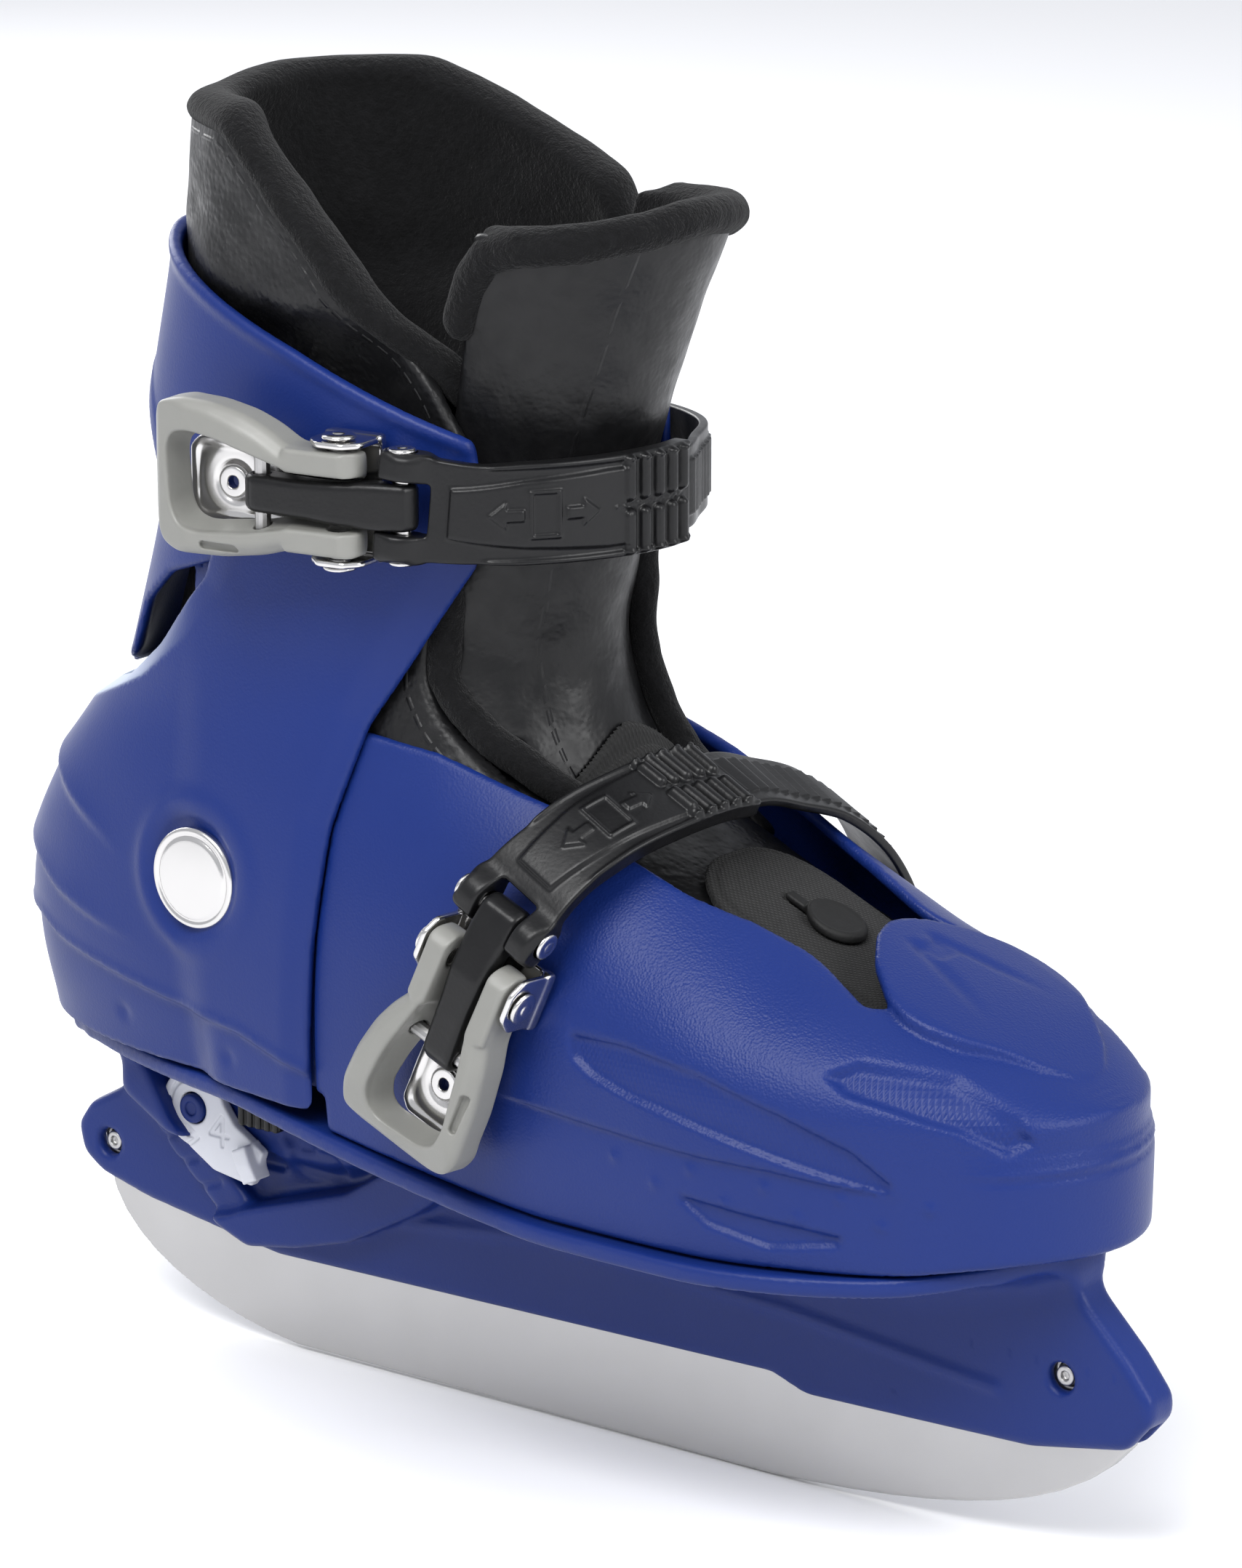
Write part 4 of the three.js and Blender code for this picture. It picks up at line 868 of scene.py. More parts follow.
SOLE_SCREWS = [(24, -22), (24, 22), (74, -22), (74, 22)]
LEVER_FACE = -11.2
LEVER_ARM = [(-96, 43), (-86, 37), (-76, 35.5), (-73, 43), (-80.5, 47.5), (-86, 55)]
DIGIT = [(-83.5, 42.5), (-83.5, 48.5), (-86.6, 44.6), (-82, 44.6)]
ARROW = [(LEVER_HUB[0] + 6 * math.cos(a), LEVER_HUB[1] + 6 * math.sin(a)) for a in np.linspace(1.9, 4.9, 9)]


def lever_marks(u, v):
    stroke = np.minimum(path_distance(u, v, DIGIT), path_distance(u, v, ARROW))
    return np.minimum(stroke, path_distance(u, v, [(-92.5, 41), (-90, 43), (-92.8, 45)]))


LEVER_MARKS = Map(lever_marks, (-105, 30), (-65, 62), 0, 0.2)
LEVER_PLATE = Map(lambda u, v: np.minimum(np.hypot(u - LEVER_HUB[0], v - LEVER_HUB[1]) - 8, outline(u, v, LEVER_ARM)),
                  (-105, 30), (-65, 62), 0.4, 0.2)


def size_lever(x, y, z):
    out = LEVER_FACE - y
    r = np.hypot(x - LEVER_HUB[0], z - LEVER_HUB[1])
    plate = slab_field(LEVER_PLATE(x, z), out, -2.3, 0.0, 0.6)
    plate = smooth_max(plate, -np.maximum(LEVER_MARKS(x, z) - 0.45, -out - 0.35), 0.1)
    turn = math.radians(-25)
    u = (x + 76) * math.cos(turn) - (z - 40.5) * math.sin(turn)
    v = (x + 76) * math.sin(turn) + (z - 40.5) * math.cos(turn)
    grip = slab_field(np.maximum(np.abs(u) - 1.9, np.abs(v) - 3.6), out, -2.3, 2.9 - 0.35 * np.abs(v) * 0.3, 0.6)
    return smooth_max(smooth_min(plate, grip, 0.5), 3.3 - r, 0.3)


def size_pin(x, y, z):
    r, out = np.hypot(x - LEVER_HUB[0], z - LEVER_HUB[1]), -y
    peg = slab_field(r - 3, out, -3.8, 12.1, 0.7)
    return smooth_max(peg, np.minimum(out - 11.6, 1.4 - r), 0.3)


def size_latch(x, y, z):
    out = -y
    body = slab_field(smooth_max(np.abs(x + 73.5) - 5.4, np.abs(z - 52.5) - 4.4, 1.2), out, 8.6, 12.2, 0.6)
    groove = np.maximum(np.abs((x + 73.5) % 2.2 - 1.1) - 0.45, 11.6 - out)
    return smooth_max(body, -groove, 0.3)


# ---------------------------------------------------------------- buckles, each worked out in its own frame
class Rig:
    """A buckle's frame: x from the handle to the strap, z away from the shell, the lever turning about y."""

    def __init__(self, at, along, out):
        x = np.array(along, float) / np.linalg.norm(along)
        z = np.array(out, float)
        z -= x * (z @ x)
        z /= np.linalg.norm(z)
        self.at, self.turn = np.array(at, float), np.stack([x, np.cross(z, x), z])

    def place(self, vertices):
        return self.at + vertices @ self.turn


RIGS = {
    "upper": Rig((-22, -46.4, 188), (0.99, 0.139, 0), (0.139, -0.99, 0)),
    "lower": Rig((13.5, -51.6, 105.5), (0.39, 0.055, 0.919), (0, -0.998, 0.06)),
}
BASE_LOW, EAR_OUT = -7, 11.7
PLATE_PLAN = [(-36, -6), (-34, -8), (-9, -8), (-6, -EAR_OUT), (5.5, -EAR_OUT), (5.5, EAR_OUT), (-6, EAR_OUT), (-9, 8),
              (-34, 8), (-36, 6)]
PLAN_BOX = ((-46, -20), (20, 20))
PLATE = Map(lambda u, v: outline(u, v, PLATE_PLAN), *PLAN_BOX, 0.5, 0.25)
EAR = Map(lambda u, v: outline(u, v, [(-6, -7), (5.5, -7), (5.5, 1.2), (2.8, 4), (-2.8, 4), (-5.8, 1)]),
          (-46, -12), (20, 12), 0.5, 0.25)
LEVER_SIDE = Map(lambda u, v: outline(u, v, [(-41, -1.5), (-38.5, 1.8), (-32, 4), (-20, 5), (-9, 4.8), (1.5, 4),
                                             (5, 1.5), (5, -2), (2, -4), (-6, -4.4), (-18, -3.8), (-30, -3.4),
                                             (-38, -4.6), (-41, -4.4)]), (-46, -12), (20, 12), 0.6, 0.25)
LEVER_OUT = Map(lambda u, v: outline(u, v, [(5, -9.6), (5, 9.6), (-9.5, 9.7), (-14, 12.6), (-19, 14.8), (-26, 16.4),
                                            (-33, 16.8), (-38.5, 15.4), (-41.5, 12), (-42, 6), (-40.5, -6),
                                            (-38, -11), (-34, -12.9), (-24, -12.7), (-15, -11.4), (-9.5, -9.8)]),
                *PLAN_BOX, 1.2, 0.25)
LEVER_GAP = Map(lambda u, v: outline(u, v, [(8, -5.4), (8, 5.4), (-9, 5.6), (-16, 7.6), (-24, 9.8), (-31, 10.8),
                                            (-35, 10), (-36.6, 7), (-35.6, -4), (-33.4, -7.4), (-29, -8.2),
                                            (-18, -7.2), (-9, -5.4)]), *PLAN_BOX, 1.2, 0.25)
LINK_SIDE = Map(lambda u, v: outline(u, v, [(-20.5, -2), (-18.5, -4), (-13, -3.4), (0, -0.8), (8, -3.2), (11, -5.4),
                                            (14, -5.2), (15.3, -2.5), (14, 0.6), (8, 2), (0, 3.4), (-9, 3.2),
                                            (-18, 2.6), (-20.5, 0.5)]), (-46, -12), (20, 12), 0.7, 0.25)


def buckle_base(x, y, z):
    r = np.hypot(x + 26, y)
    dish = 0.9 * smooth_step((9 - r) / 3) * smooth_step((r - 3.2) / 1.5)
    rim = 0.8 * smooth_step((PLATE(x, y) + 2.2) / 1.2) * smooth_step((-9 - x) / 2)
    plate = smooth_max(PLATE(x, y), np.abs(z - BASE_LOW - 0.6 - 0.6 * dish - 0.5 * rim) - 0.6, 0.4)
    ears = smooth_max(EAR(x, z), np.abs(np.abs(y) - EAR_OUT + 0.6) - 0.6, 0.5)
    base = smooth_min(plate, ears, 1.6)
    return smooth_max(smooth_max(base, 2.3 - np.hypot(x, z), 0.2), 2.2 - r, 0.2)


def base_rivet(x, y, z):
    r, up = np.hypot(x + 26, y), z - BASE_LOW
    head = smooth_max(np.hypot(np.maximum(r - 2.6, 0), up - 1.9) - 0.75, r - 3.4, 0.2)
    tube = slab_field(r - 1.9, up, 0, 2.2, 0.3)
    return smooth_max(smooth_min(head, tube, 0.5), np.maximum(1.2 - r, 0.4 - up), 0.2)


def lever_rivet(sign):
    def field(x, y, z):
        r, out = np.hypot(x, z), sign * y
        head = smooth_max(smooth_max(r - 3.2, out - EAR_OUT - 1.5 + 0.06 * r * r, 0.4), EAR_OUT + 0.3 - out, 0.2)
        head = head + 0.25 * np.exp(-((r - 1.5) / 0.35) ** 2)
        return np.minimum(head, slab_field(r - 2, out, 5.5, EAR_OUT + 0.8, 0.3))
    return field


def grip_lever(x, y, z):
    side = np.abs(y)
    plan = LEVER_OUT(x, y)
    body = smooth_max(LEVER_SIDE(x, z), plan, 0.9)
    body = smooth_max(body, (plan + z - 2.6) * 0.707, 0.8)
    body = smooth_max(body, -(LEVER_GAP(x, y) + 0.25 * np.maximum(2 - z, 0)), 0.9)
    slot = np.maximum(np.hypot(np.maximum(np.abs(x + 24) - 3.4, 0), y + 10.4) - 0.8, 3.0 - z)
    body = smooth_max(body, -slot, 0.3)
    cap = smooth_max(smooth_max(np.abs(x + 2.5) - 7.6, np.abs(side - 7.5) - 2.3, 1.2), np.abs(z - 1.2) - 3.4, 1.2)
    cap = smooth_max(cap, np.minimum(np.hypot(x, z) - 5.1, x), 0.3)
    body = smooth_min(body, smooth_max(cap, 5.2 - side, 0.2), 0.5)
    body = smooth_max(body, 2.3 - np.hypot(x, z), 0.2)
    return smooth_max(body, -np.maximum(np.hypot(x + 17, z + 0.5) - 1.8, side - 8.3), 0.1)


def link_bar(x, y, z):
    side = np.abs(y)
    body = smooth_max(LINK_SIDE(x, z), side - 3.6 - 0.9 * smooth_step((x + 10) / 20), 1.6)
    body = smooth_max(body, 1.8 - np.hypot(x + 17, z + 0.5), 0.2)
    return smooth_max(body, 2.0 - np.hypot(x - 12, z + 2.5), 0.2)


def strap_pin(x, y, z):
    r, side = np.hypot(x - 12, z + 2.5), np.abs(y)
    head = smooth_max(smooth_max(r - 2.7, side - 11.2 + 0.05 * r * r, 0.4), 10.1 - side, 0.2)
    head = head + 0.2 * np.exp(-((r - 1.3) / 0.35) ** 2)
    return np.minimum(head, np.maximum(r - 1.7, side - 10.3))


# ---------------------------------------------------------------- straps, worked out flat and then bent
class Ribbon:
    """A strap's centre line: flat places (along, across, out) are carried onto the bent strap."""

    def __init__(self, path, across):
        path = np.array(path, float)
        ends = np.concatenate([[2 * path[0] - path[1]], path, [2 * path[-1] - path[-2]]])
        dense = []
        for i in range(1, len(ends) - 2):
            p0, p1, p2, p3 = ends[i - 1:i + 3]
            knots = np.cumsum([0] + [np.linalg.norm(b - a) ** 0.5 for a, b in ((p0, p1), (p1, p2), (p2, p3))])
            t = np.linspace(knots[1], knots[2], 24, endpoint=False)[:, None]
            t0, t1, t2, t3 = knots
            a1 = p0 * (t1 - t) / (t1 - t0) + p1 * (t - t0) / (t1 - t0)
            a2 = p1 * (t2 - t) / (t2 - t1) + p2 * (t - t1) / (t2 - t1)
            a3 = p2 * (t3 - t) / (t3 - t2) + p3 * (t - t2) / (t3 - t2)
            b1 = a1 * (t2 - t) / (t2 - t0) + a2 * (t - t0) / (t2 - t0)
            b2 = a2 * (t3 - t) / (t3 - t1) + a3 * (t - t1) / (t3 - t1)
            dense.append(b1 * (t2 - t) / (t2 - t1) + b2 * (t - t1) / (t2 - t1))
        self.line = np.concatenate(dense + [path[-1:]])
        steps = np.linalg.norm(np.diff(self.line, axis=0), axis=1)
        self.s = np.concatenate([[0], np.cumsum(steps)])
        self.length = self.s[-1]
        along = np.gradient(self.line, self.s, axis=0)
        along /= np.linalg.norm(along, axis=1)[:, None]
        side = np.array(across, float) - along * (along @ np.array(across, float))[:, None]
        self.along, self.side = along, side / np.linalg.norm(side, axis=1)[:, None]
        self.out = np.cross(along, self.side)

    def at(self, rows, s):
        return np.stack([np.interp(s, self.s, rows[:, k]) for k in range(3)], 1)

    def place(self, vertices):
        s, t, n = vertices.T
        beyond = (s - np.clip(s, 0, self.length))[:, None]
        return (self.at(self.line, s) + beyond * self.at(self.along, s) + t[:, None] * self.at(self.side, s)
                + n[:, None] * self.at(self.out, s))


STRAPS = {
    "upper": dict(across=(0, 0, 1), carrier=[(1, -36, 187), (10, -27, 187), (16, -16, 187), (18.8, -4, 187),
                                              (18.4, 5, 187)],
                  ladder=[(18.7, -1, 187), (17.6, 7, 187), (13.5, 15, 187), (8, 25, 187), (-2, 33.4, 186.5), (-16, 39, 186), (-34, 40.6, 186)],
                  rivet=(-28, 41, 186)),
    "lower": dict(across=(-0.9, 0.1, 0.4), carrier=[(22.5, -43, 124), (27, -33, 130.5), (30, -21, 133.5),
                                                     (31.5, -9, 134.5), (32.5, 0, 134)],
                  ladder=[(32.2, -6, 134.3), (33, 4, 133.7), (34, 13, 131), (36, 25, 126.5), (37.5, 37, 117), (38, 45, 104), (38, 47.4, 90)],
                  rivet=(38, 47.6, 96)),
}
CARRIER_PLAN = [(-4, -9.7), (6, -9.7), (14, -9.2), (20, -9.5), (44, -9.7), (56, -9.7), (56, 9.7), (44, 9.7),
                (20, 9.5), (14, 9.2), (6, 9.7), (-4, 9.7)]
PANEL_PLAN = [(9, -4.6), (22, -6.2), (38, -7.2), (42, -7.2), (42, 7.2), (38, 7.2), (22, 6.2), (9, 4.6)]
ARROW_PLAN = [(-3.2, 0), (0, 2.6), (0, 1.1), (3.2, 1.1), (3.2, -1.1), (0, -1.1), (0, -2.6)]


def carrier_marks(u, v):
    """The height of the raised panel, its plain arrows, the dashed line and the ladder ribs."""
    high = 0.75 * smooth_step(0.5 - outline(u, v, PANEL_PLAN) / 0.8)
    for cu, turn in ((19, 1), (33, -1)):
        high = high + 0.55 * smooth_step(0.5 - outline((u - cu) * turn, v, ARROW_PLAN) / 0.35)
    frame_line = np.abs(np.maximum(np.abs(u - 26) - 2.6, np.abs(v) - 4.2)) - 0.3
    high = high + 0.5 * smooth_step(0.5 - frame_line / 0.3)
    dash = np.maximum(np.abs((u - 37) % 1.8 - 0.9) - 0.5, np.abs(v) - 0.25)
    high = high + 0.3 * smooth_step(0.5 - dash / 0.3) * (u > 38.5) * (u < 56)
    high = high + 0.55 * smooth_step((np.abs(v) - 8.2) / 0.6) * smooth_step((u - 14) / 3)
    return high


def make_carrier(length):
    ribs_from = length - 17

    def marks(u, v):
        high = carrier_marks(u, v)
        for k in range(5):
            bar = np.hypot(u - ribs_from - 3.4 * k, np.maximum(np.abs(np.abs(v) - 5) - 3.2, 0))
            high = high + 1.5 * np.sqrt(np.maximum(1 - (bar / 1.25) ** 2, 0))
        return high

    relief = Map(marks, (-8, -12), (70, 12), 0.12, 0.2)
    plan = Map(lambda u, v: outline(u, v, [(min(p[0] * length / 56, length), p[1]) for p in CARRIER_PLAN]),
               (-8, -12), (70, 12), 0.8, 0.25)

    def field(s, t, n):
        side = np.abs(t)
        strip = smooth_max(plan(s, t), np.abs(n - relief(s, t) / 2) - 1.5 - relief(s, t) / 2, 0.7)
        hub = smooth_max(np.hypot(s, n) - 3.9, np.abs(side - 7.4) - 2.3, 1.2)
        body = smooth_min(strip, hub, 3)
        body = smooth_max(body, -smooth_max(side - 5.0, s - 5.2, 1.0), 0.5)
        return smooth_max(body, 2.0 - np.hypot(s, n), 0.2)
    return field


def make_ladder(length):
    def field(s, t, n):
        plan = smooth_max(np.abs(t) - 8, np.abs(s - length / 2) - length / 2, 5)
        teeth = 0.75 * ((s % 3.0) / 3.0) * smooth_step((5.6 - np.abs(t)) / 0.4) * smooth_step((s - 1) / 1)
        teeth = teeth * smooth_step((length - 16 - s) / 2)
        return smooth_max(plan, np.abs(n + 0.1) - 0.9 - np.where(n > 0, teeth, 0), 0.4)
    return field


def strap_rivet(cx, cy, cz):
    def field(x, y, z):
        r, out = np.hypot(x - cx, z - cz), y - cy
        head = smooth_max(smooth_max(r - 4, out - 2.8 + 0.05 * r * r, 0.5), 1.5 - out, 0.2)
        return np.minimum(head + 0.2 * np.exp(-((r - 1.8) / 0.4) ** 2), slab_field(r - 2, out, -1.6, 2, 0.2))
    return field


def build_buckle(name, base_body):
    rig = RIGS[name]

    def local(piece, field, low, high, paint, body, node, step=HARD_STEP):
        vertices, quads = mesh_field(field, low, high, step)
        make_piece(f"{name}_{piece}", rig.place(vertices), quads, paint, body, f"{name}_{node}")

    local("plate_and_ears", buckle_base, (-37, -12.5, -8), (7, 12.5, 5), CHROME, base_body, "buckle_base")
    local("tube_rivet", base_rivet, (-30, -4, -8), (-22, 4, -3), CHROME, base_body, "base_rivet")
    for i, sign in enumerate((1, -1)):
        side = sorted((sign * 5, sign * 14))
        local(f"lever_pivot_{i + 1}", lever_rivet(sign), (-4, side[0], -4), (4, side[1], 4), CHROME, base_body,
              f"lever_rivet_{i + 1}")
    local("grip", grip_lever, (-44, -18, -7), (7, 18, 7), GREY, f"{name}_lever", "lever")
    local("centre_link", link_bar, (-22, -6, -7), (17, 6, 5), BLACK, f"{name}_link", "link_bar")
    local("strap_axle", strap_pin, (8, -12, -6), (16, 12, 1), CHROME, f"{name}_link", "strap_pin")

    spec = STRAPS[name]
    start = rig.place(np.array([[12, 0, -2.5]], float))[0]
    carrier = Ribbon([start] + spec["carrier"], spec["across"])
    vertices, quads = mesh_field(make_carrier(carrier.length), (-5, -11, -4.5), (carrier.length + 2, 11, 5), HARD_STEP)
    make_piece(f"{name}_carrier_strap", carrier.place(vertices), quads, BLACK, f"{name}_carrier",
               f"{name}_strap_carrier")
    ladder = Ribbon(spec["ladder"], spec["across"])
    vertices, quads = mesh_field(make_ladder(ladder.length), (-1, -9, -2), (ladder.length + 1, 9, 3), HARD_STEP)
    make_piece(f"{name}_toothed_strap", ladder.place(vertices), quads, BLACK, base_body, f"{name}_ladder_strap")
    x, y, z = spec["rivet"]
    build_part(f"{name}_far_rivet", strap_rivet(x, y, z), (x - 5, y - 3, z - 5), (x + 5, y + 4, z + 5), CHROME,
               base_body, f"{name}_strap_rivet", HARD_STEP)


# ---------------------------------------------------------------- soft liner
LINER = -7.9
COLLAR = Curve([(60, LINER), (200, LINER), (213, -3.2), (219, 2.8), (248, 2.4), (262, -1)], 3)
TONGUE = Curve([(130, 5, 28, 24), (158, 4, 28, 24), (175, 7, 27, 24.5), (190, 10, 27, 24.5), (205, 15, 28, 25),
                (222, 21, 28, 26), (236, 27, 29, 28)], 3)
INSTEP = side_outline([(-200, 20), (150, 20), (130, 99), (87, 100.5), (69, 104.5), (28, 119.5), (12, 127), (-8, 139),
                       (-60, 160), (-200, 200)], 2)
COLLAR_OUTER = side_outline([(-135, 110), (-135, 252), (-84, 255), (-60, 256), (-36, 235), (-12, 209), (-4, 196),
                             (-7, 184), (-11, 174), (-13.5, 162), (-14, 152), (-10, 146), (-4, 141.5), (4, 135.5),
                             (12, 129), (24, 118), (24, 110)], 2.2)
COLLAR_INNER = side_outline([(-135, 110), (-135, 252), (-84, 257), (-60, 258), (-36, 248), (-14, 239), (-7, 222),
                             (-4, 200), (-1, 180), (1, 160), (2, 150), (6, 140), (14, 130), (26, 118), (26, 110)], 2.2)


def soft_waves(x, y, z):
    """Gentle unevenness of padded leather, between about -1 and 1."""
    return (np.sin(x * 0.21 + z * 0.07) * np.sin(y * 0.17 + z * 0.11 + 1.3) + 0.5 * np.sin(z * 0.33 - x * 0.12 + y * 0.2)
            + 0.35 * np.sin(x * 0.5 + y * 0.43) * np.sin(z * 0.47 + 0.4)) / 1.6


def tongue_volume(x, y, z):
    front, reach, half = TONGUE(z, 0), TONGUE(z, 1), TONGUE(z, 2)
    a, b = y / half, (x - front + reach) / reach
    s = np.hypot(a, b) + 1e-6
    upper = (s - 1) * s / np.maximum(np.hypot(a / half, b / reach), 1e-4)
    lower = smooth_max(foot_field(x, y, z) - LINER + 1, INSTEP(x, z) + 1, 10)
    return smooth_min(np.clip(upper, -60, 200), lower, 22) - 0.35 * soft_waves(x, y, z)


def ankle_volume(x, y, z):
    body = smooth_min(foot_field(x, y, z), leg_field(x, y, z), 14) - COLLAR(z)
    return body - (0.45 + 0.25 * smooth_step((z - 205) / 15)) * soft_waves(x, y, z)


def upper_volume(x, y, z):
    return smooth_min(ankle_volume(x, y, z), tongue_volume(x, y, z) - 3.2, 5)


def collar_edge(x, y, z):
    share = smooth_step((y + 10) / 20)
    return COLLAR_OUTER(x, z) * (1 - share) + COLLAR_INNER(x, z) * share


def front_gap(x, y, z):
    """The liner's open front, which the tongue fills."""
    return np.maximum(np.abs(y + 1) - 17 + 6 * smooth_step((y - 2) / 6), -16 - x)


def collar_leather(x, y, z):
    d = upper_volume(x, y, z)
    skin = smooth_max(d, -(d + 3.2), 1.0)
    skin = smooth_max(skin, collar_edge(x, y, z) + 3.5, 1.0)
    return smooth_max(smooth_max(skin, -front_gap(x, y, z), 1.0), 114 - z, 1.0)


def collar_fleece(x, y, z):
    d = ankle_volume(x, y, z)
    edge = collar_edge(x, y, z)
    inner = smooth_max(np.abs(d + 6.2) - 2.8, edge + 2, 2)
    rim = smooth_max(np.abs(d + 3.6) - 4.9, np.abs(edge + 3.2) - 3.2, 4.5)
    rim = smooth_max(rim, 200 - z - 30 * (y > 0), 3)
    fleece = smooth_max(smooth_min(inner, rim, 1.5), -front_gap(x, y, z), 2)
    return smooth_max(fleece, 104 - z, 1)


def tongue_face(x, y, z):
    d = tongue_volume(x, y, z)
    skin = smooth_max(d, -(d + 3.0), 1.0)
    back = -(x + 15 - 0.2 * np.maximum(z - 190, 0))
    skin = smooth_max(skin, np.where(z > 150, back, back - (150 - z) * 0.6), 1.5)
    low = smooth_max(x - 41, np.abs(y) - 19, 6)
    return smooth_max(smooth_max(skin, np.where(z < 140, low, -9), 1.0), z - 237, 1.0)


ROLL = [(-10, -25, 220), (-7, -25.7, 228), (-2.5, -26.2, 233)]
ROLL += [(-2 + 27 * math.cos(a), 26.5 * math.sin(a), 239.5 - 4.5 * abs(math.sin(a)) ** 1.5)
         for a in np.radians(np.linspace(-76, 82, 15))]


def path3_distance(x, y, z, points):
    best = np.full(np.shape(x), 1e9)
    for a, b in zip(points[:-1], points[1:]):
        a, e = np.array(a, float), np.array(b, float) - np.array(a, float)
        w = x - a[0], y - a[1], z - a[2]
        t = np.clip((w[0] * e[0] + w[1] * e[1] + w[2] * e[2]) / (e @ e), 0, 1)
        best = np.minimum(best, sum((w[k] - e[k] * t) ** 2 for k in range(3)))
    return np.sqrt(best)


def tongue_fleece(x, y, z):
    d = tongue_volume(x, y, z)
    skin = smooth_max(np.abs(d + 5.0) - 1.9, -(x + 15 - 0.2 * np.maximum(z - 190, 0)), 1.5)
    skin = smooth_max(smooth_max(skin, 150 - z, 1), z - 238, 1.5)
    thick = 3.7 + 0.9 * smooth_step((y - 8) / 14) + 0.25 * soft_waves(x * 2, y * 2, z * 2)
    return smooth_min(skin, path3_distance(x, y, z, ROLL) - thick, 3)


OUTER_BINDING = [(-13, -23.5, 182), (-14.5, -24, 172), (-15.5, -23.5, 161), (-15.7, -24.2, 151), (-11, -24.2, 145.5),
                 (-5, -23, 140.5), (3.7, -19.8, 134.4), (11, -16, 129.3), (20, -13, 124)]
INNER_BINDING = [(-4, 18.5, 184), (-1, 17.5, 172), (0.5, 17, 160), (1.2, 17, 150), (4, 18, 141), (9, 18.4, 132.5),
                 (17, 17.5, 126)]


def binding(points, thick):
    def field(x, y, z):
        tube = path3_distance(x, y, z, points) - thick - 0.3 * soft_waves(x * 2, y * 2, z * 2)
        return smooth_max(tube, upper_volume(x, y, z) - 1.9, 2.0)
    return field


def webbing(x, y, z):
    d = tongue_volume(x, y, z)
    ribs = 0.35 * np.abs(np.sin(x * math.pi / 1.7))
    return smooth_max(np.abs(d - 0.4 - ribs / 2) - 0.8 - ribs / 2, np.maximum(np.abs(x - 15) - 7, np.abs(y) - 14.5), 0.6)


def foot_volume(x, y, z):
    return smooth_max(boot(x, y, z) - LINER, INSTEP(x, z), 9) - 0.3 * soft_waves(x, y, z)


def liner_foot(x, y, z):
    d = foot_volume(x, y, z)
    skin = smooth_max(d, -(d + 4.5), 1.5)
    floor = smooth_max(d, z - SOLE(x) - 10, 2)
    skin = smooth_max(smooth_min(skin, floor, 3), SOLE(x) + 5.8 - z, 2)
    return smooth_max(skin, z - 117 - 30 * smooth_step((x + 20) / 20), 1)


def insole(x, y, z):
    up = z - SOLE(x) - 11.6 - 1.2 * smooth_step((np.abs(y) - 12) / 12) * smooth_step((20 - x) / 40)
    return smooth_max(boot(x, y, z) + 13.4, np.abs(up) - 1.2, 1.2)


def patch_plan(u, v):
    return np.hypot(np.maximum(np.maximum(46 - u, u - 88), 0), np.maximum(np.abs(v - 1.5) - 3, 0)) - 14


PATCH_PLAN = Map(patch_plan, (10, -40), (110, 40))


def toe_patch(x, y, z):
    d = smooth_max(boot(x, y, z) - LINER, INSTEP(x, z), 9)
    plan = PATCH_PLAN(x, y)
    swell = 0.5 * smooth_step(-plan / 3) - 0.35 * np.exp(-((plan + 2.0) / 0.5) ** 2)
    slot = np.hypot(np.maximum(np.abs(x - 49) - 2.5, 0), y + 0.5) - 0.8
    swell = swell - 0.8 * smooth_step(0.5 - slot / 0.6)
    return smooth_max(np.abs(d - 1.2 - swell / 2) - 0.9 - swell / 2, plan, 0.6)


TAG = (57, 1.2)


def patch_tag(x, y, z):
    d = smooth_max(boot(x, y, z) - LINER, INSTEP(x, z), 9) - 2.9
    r = np.hypot((x - TAG[0]) / 1.0, (y - TAG[1]) / 1.05)
    disc = smooth_max(r - 5.6, np.abs(d - 0.9 - 0.25 * np.exp(-((r - 4.9) / 0.4) ** 2)) - 0.9, 0.7)
    stem = np.maximum(np.abs(x - TAG[0] + 6) - 4, np.abs(y - TAG[1] + 1.4) - 1.2)
    return smooth_min(disc, smooth_max(stem, np.abs(d - 0.3) - 0.7, 0.5), 0.8)


SOFT_BEND = ((-0.03, 0, 0.122), (-0.03, 0, 0.180))
SLIDE_BEND = ((0.028, 0, 0.09), (-0.045, 0, 0.09))


def build_soft(name, field, low, high, paint, bend, node, seam=None, step=None):
    vertices, quads = mesh_field(field, low, high, step or SOFT_STEP)
    piece = make_piece(name, vertices, quads, paint, None, node)
    x, y, z = vertices.T
    if seam:
        shell_marks(piece, vertices, seam(x, y, z), x * 0.62 - z * 0.62 + y * 0.3, ("seam", "along"))
    if bend == "ankle":
        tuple(SOFT_BEND[0])
        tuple(SOFT_BEND[1])
        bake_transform(piece)
    elif bend == "slide":
        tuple(SLIDE_BEND[0])
        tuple(SLIDE_BEND[1])
        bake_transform(piece)
    else:
        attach(piece, bend)
    return piece


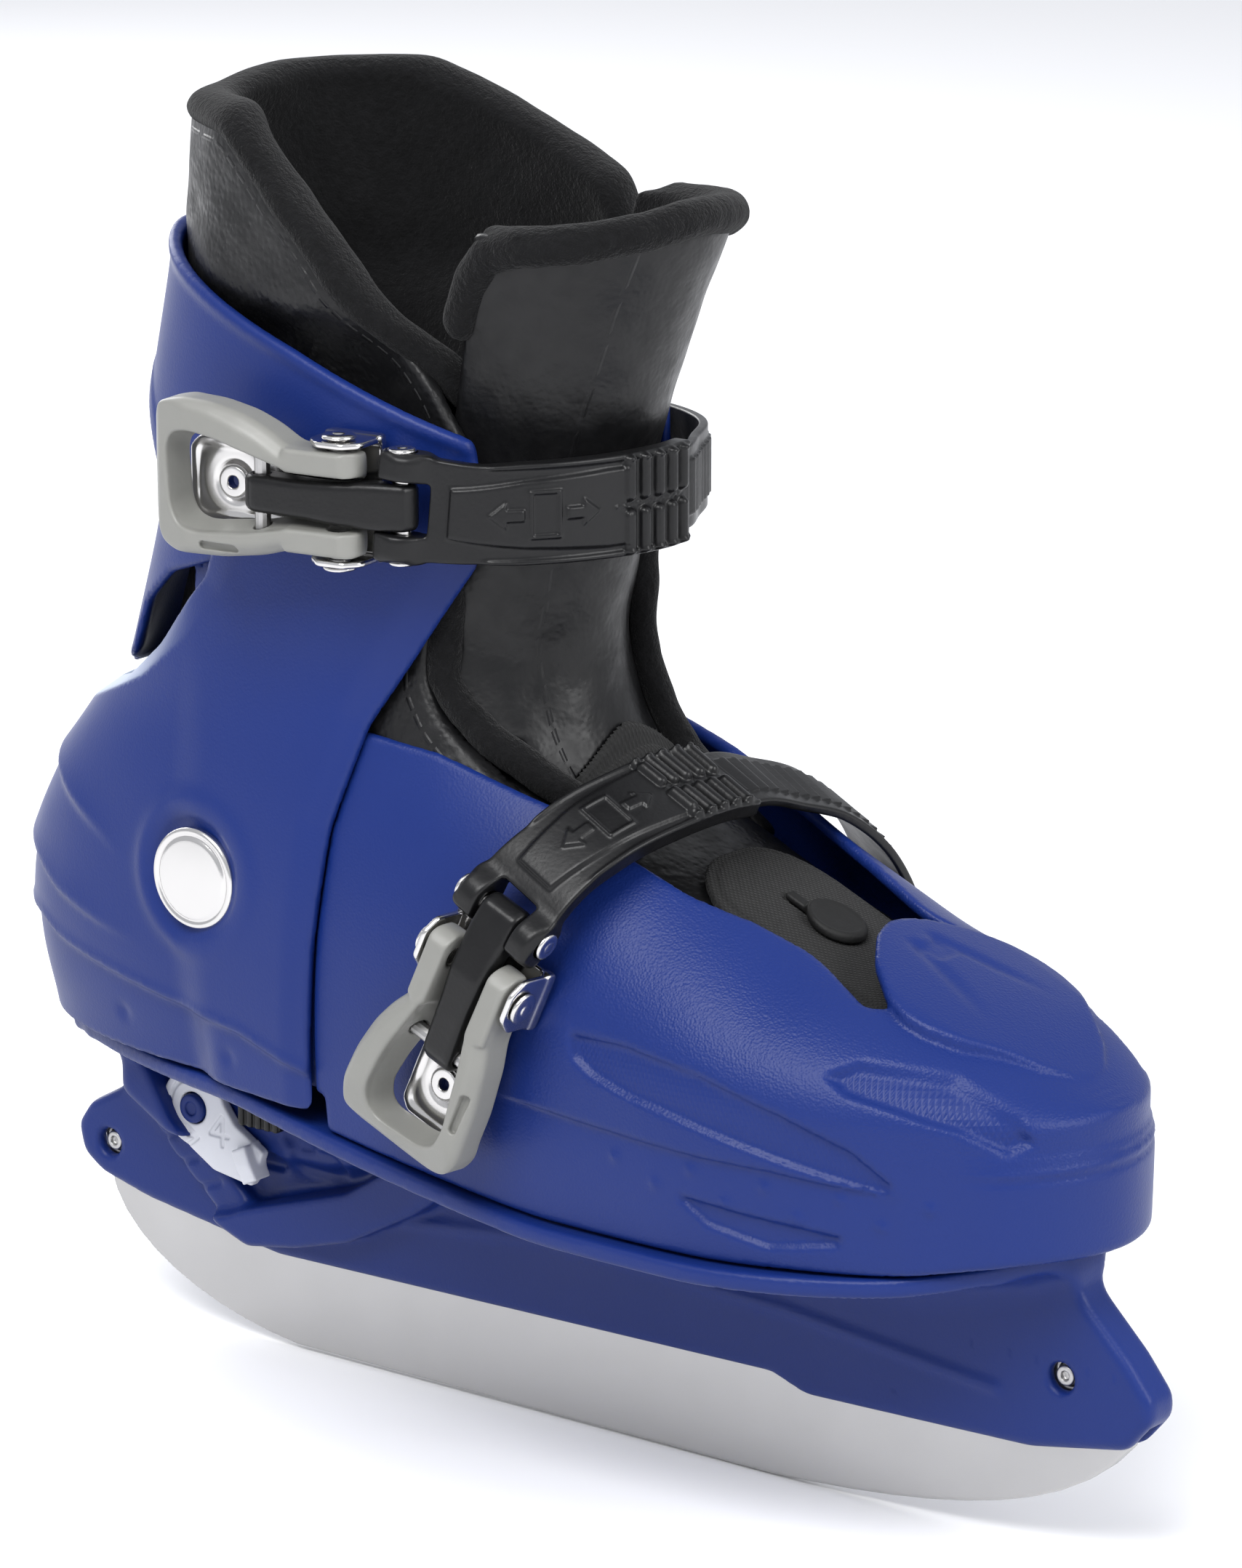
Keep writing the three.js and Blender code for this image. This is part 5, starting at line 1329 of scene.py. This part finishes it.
def build_liner():
    def collar_seam(x, y, z):
        return collar_edge(x, y, z) + 7.2

    build_soft("liner_collar", collar_leather, (-132, -40, 110), (34, 40, 264), LEATHER, "ankle", "liner_cuff",
               collar_seam)
    build_soft("liner_collar_fleece", collar_fleece, (-132, -40, 102), (34, 40, 264), FLEECE, "ankle", None)
    build_soft("tongue_leather", tongue_face, (-30, -32, 108), (46, 32, 240), SMOOTH_LEATHER, "ankle", "tongue",
               lambda x, y, z: np.abs(y) - 14)
    build_soft("tongue_fleece_roll", tongue_fleece, (-30, -34, 148), (34, 34, 248), FLEECE, "ankle", "tongue_roll")
    build_soft("binding_outer", binding(OUTER_BINDING, 3.3), (-22, -30, 118), (26, -6, 190), FLEECE, "ankle", None,
               step=0.8)
    build_soft("binding_inner", binding(INNER_BINDING, 3.3), (-12, 8, 118), (24, 26, 192), FLEECE, "ankle", None,
               step=0.8)
    build_soft("instep_webbing", webbing, (6, -16, 108), (24, 16, 140), CANVAS, "ankle", None, step=0.5)
    build_soft("liner_foot_padding", liner_foot, (-130, -46, 60), (124, 46, 130), LEATHER, "slide", "liner_foot")
    build_soft("insole_pad", insole, (-124, -40, 62), (112, 40, 86), FLEECE, "heel", "insole")
    build_soft("toe_patch_canvas", toe_patch, (28, -20, 95), (104, 24, 126), CANVAS, "chassis", "toe_patch",
               step=0.6)
    build_soft("patch_tag_rubber", patch_tag, (44, -8, 100), (66, 10, 122), RUBBER, "chassis", "patch_tag",
               step=HARD_STEP)


def build_part(piece, field, low, high, paint, body, node, step):
    vertices, quads = mesh_field(field, low, high, step)
    return make_piece(piece, vertices, quads, paint, body, node)


build_front_shell()
build_heel_shell()
build_cuff()
build_holder()
build_blade()
for end, (pin_x, pin_z) in zip(("rear", "front"), BOLTS):
    build_part(f"blade_pin_{end}_turned", blade_pin(pin_x, pin_z), (pin_x - 3, -4, pin_z - 3),
               (pin_x + 3, 4, pin_z + 3), STEEL, "chassis", f"blade_pin_{end}", HARD_STEP)
for end, sign in (("outer", -1), ("inner", 1)):
    near, far = sorted((sign * 37, sign * 43))
    build_part(f"ankle_cap_{end}_dome", ankle_cap(sign), (ANKLE[0] - 11, near, ANKLE[1] - 11),
               (ANKLE[0] + 11, far, ANKLE[1] + 11), CHROME, "heel", f"ankle_cap_{end}", HARD_STEP)
build_part("size_lever_plate", size_lever, (-100, -15, 35), (-71, -8, 58), WHITE, "size_lever", "size_lever",
           HARD_STEP)
build_part("size_peg", size_pin, (-95, -13, 45), (-87, 5, 53), BLUE, "chassis", "size_pin", HARD_STEP)
build_part("size_latch_block", size_latch, (-80, -13, 47), (-67, -8, 58), BLACK, "chassis", "size_latch",
           HARD_STEP)
build_buckle("upper", "cuff")
build_buckle("lower", "chassis")
build_liner()
for i, (screw_x, screw_y) in enumerate(SOLE_SCREWS):
    head_low = float(SOLE(screw_x)) + 2.6
    build_part(f"sole_screw_{i + 1}_crossed", sole_screw(screw_x, screw_y, head_low),
               (screw_x - 5, screw_y - 5, head_low - 8), (screw_x + 5, screw_y + 5, head_low + 3), STEEL, "chassis",
               f"sole_screw_{i + 1}", HARD_STEP)
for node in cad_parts.values():
    if not node.hide_render:
        node.data.materials.clear()
        node.data.materials.append(STEEL)
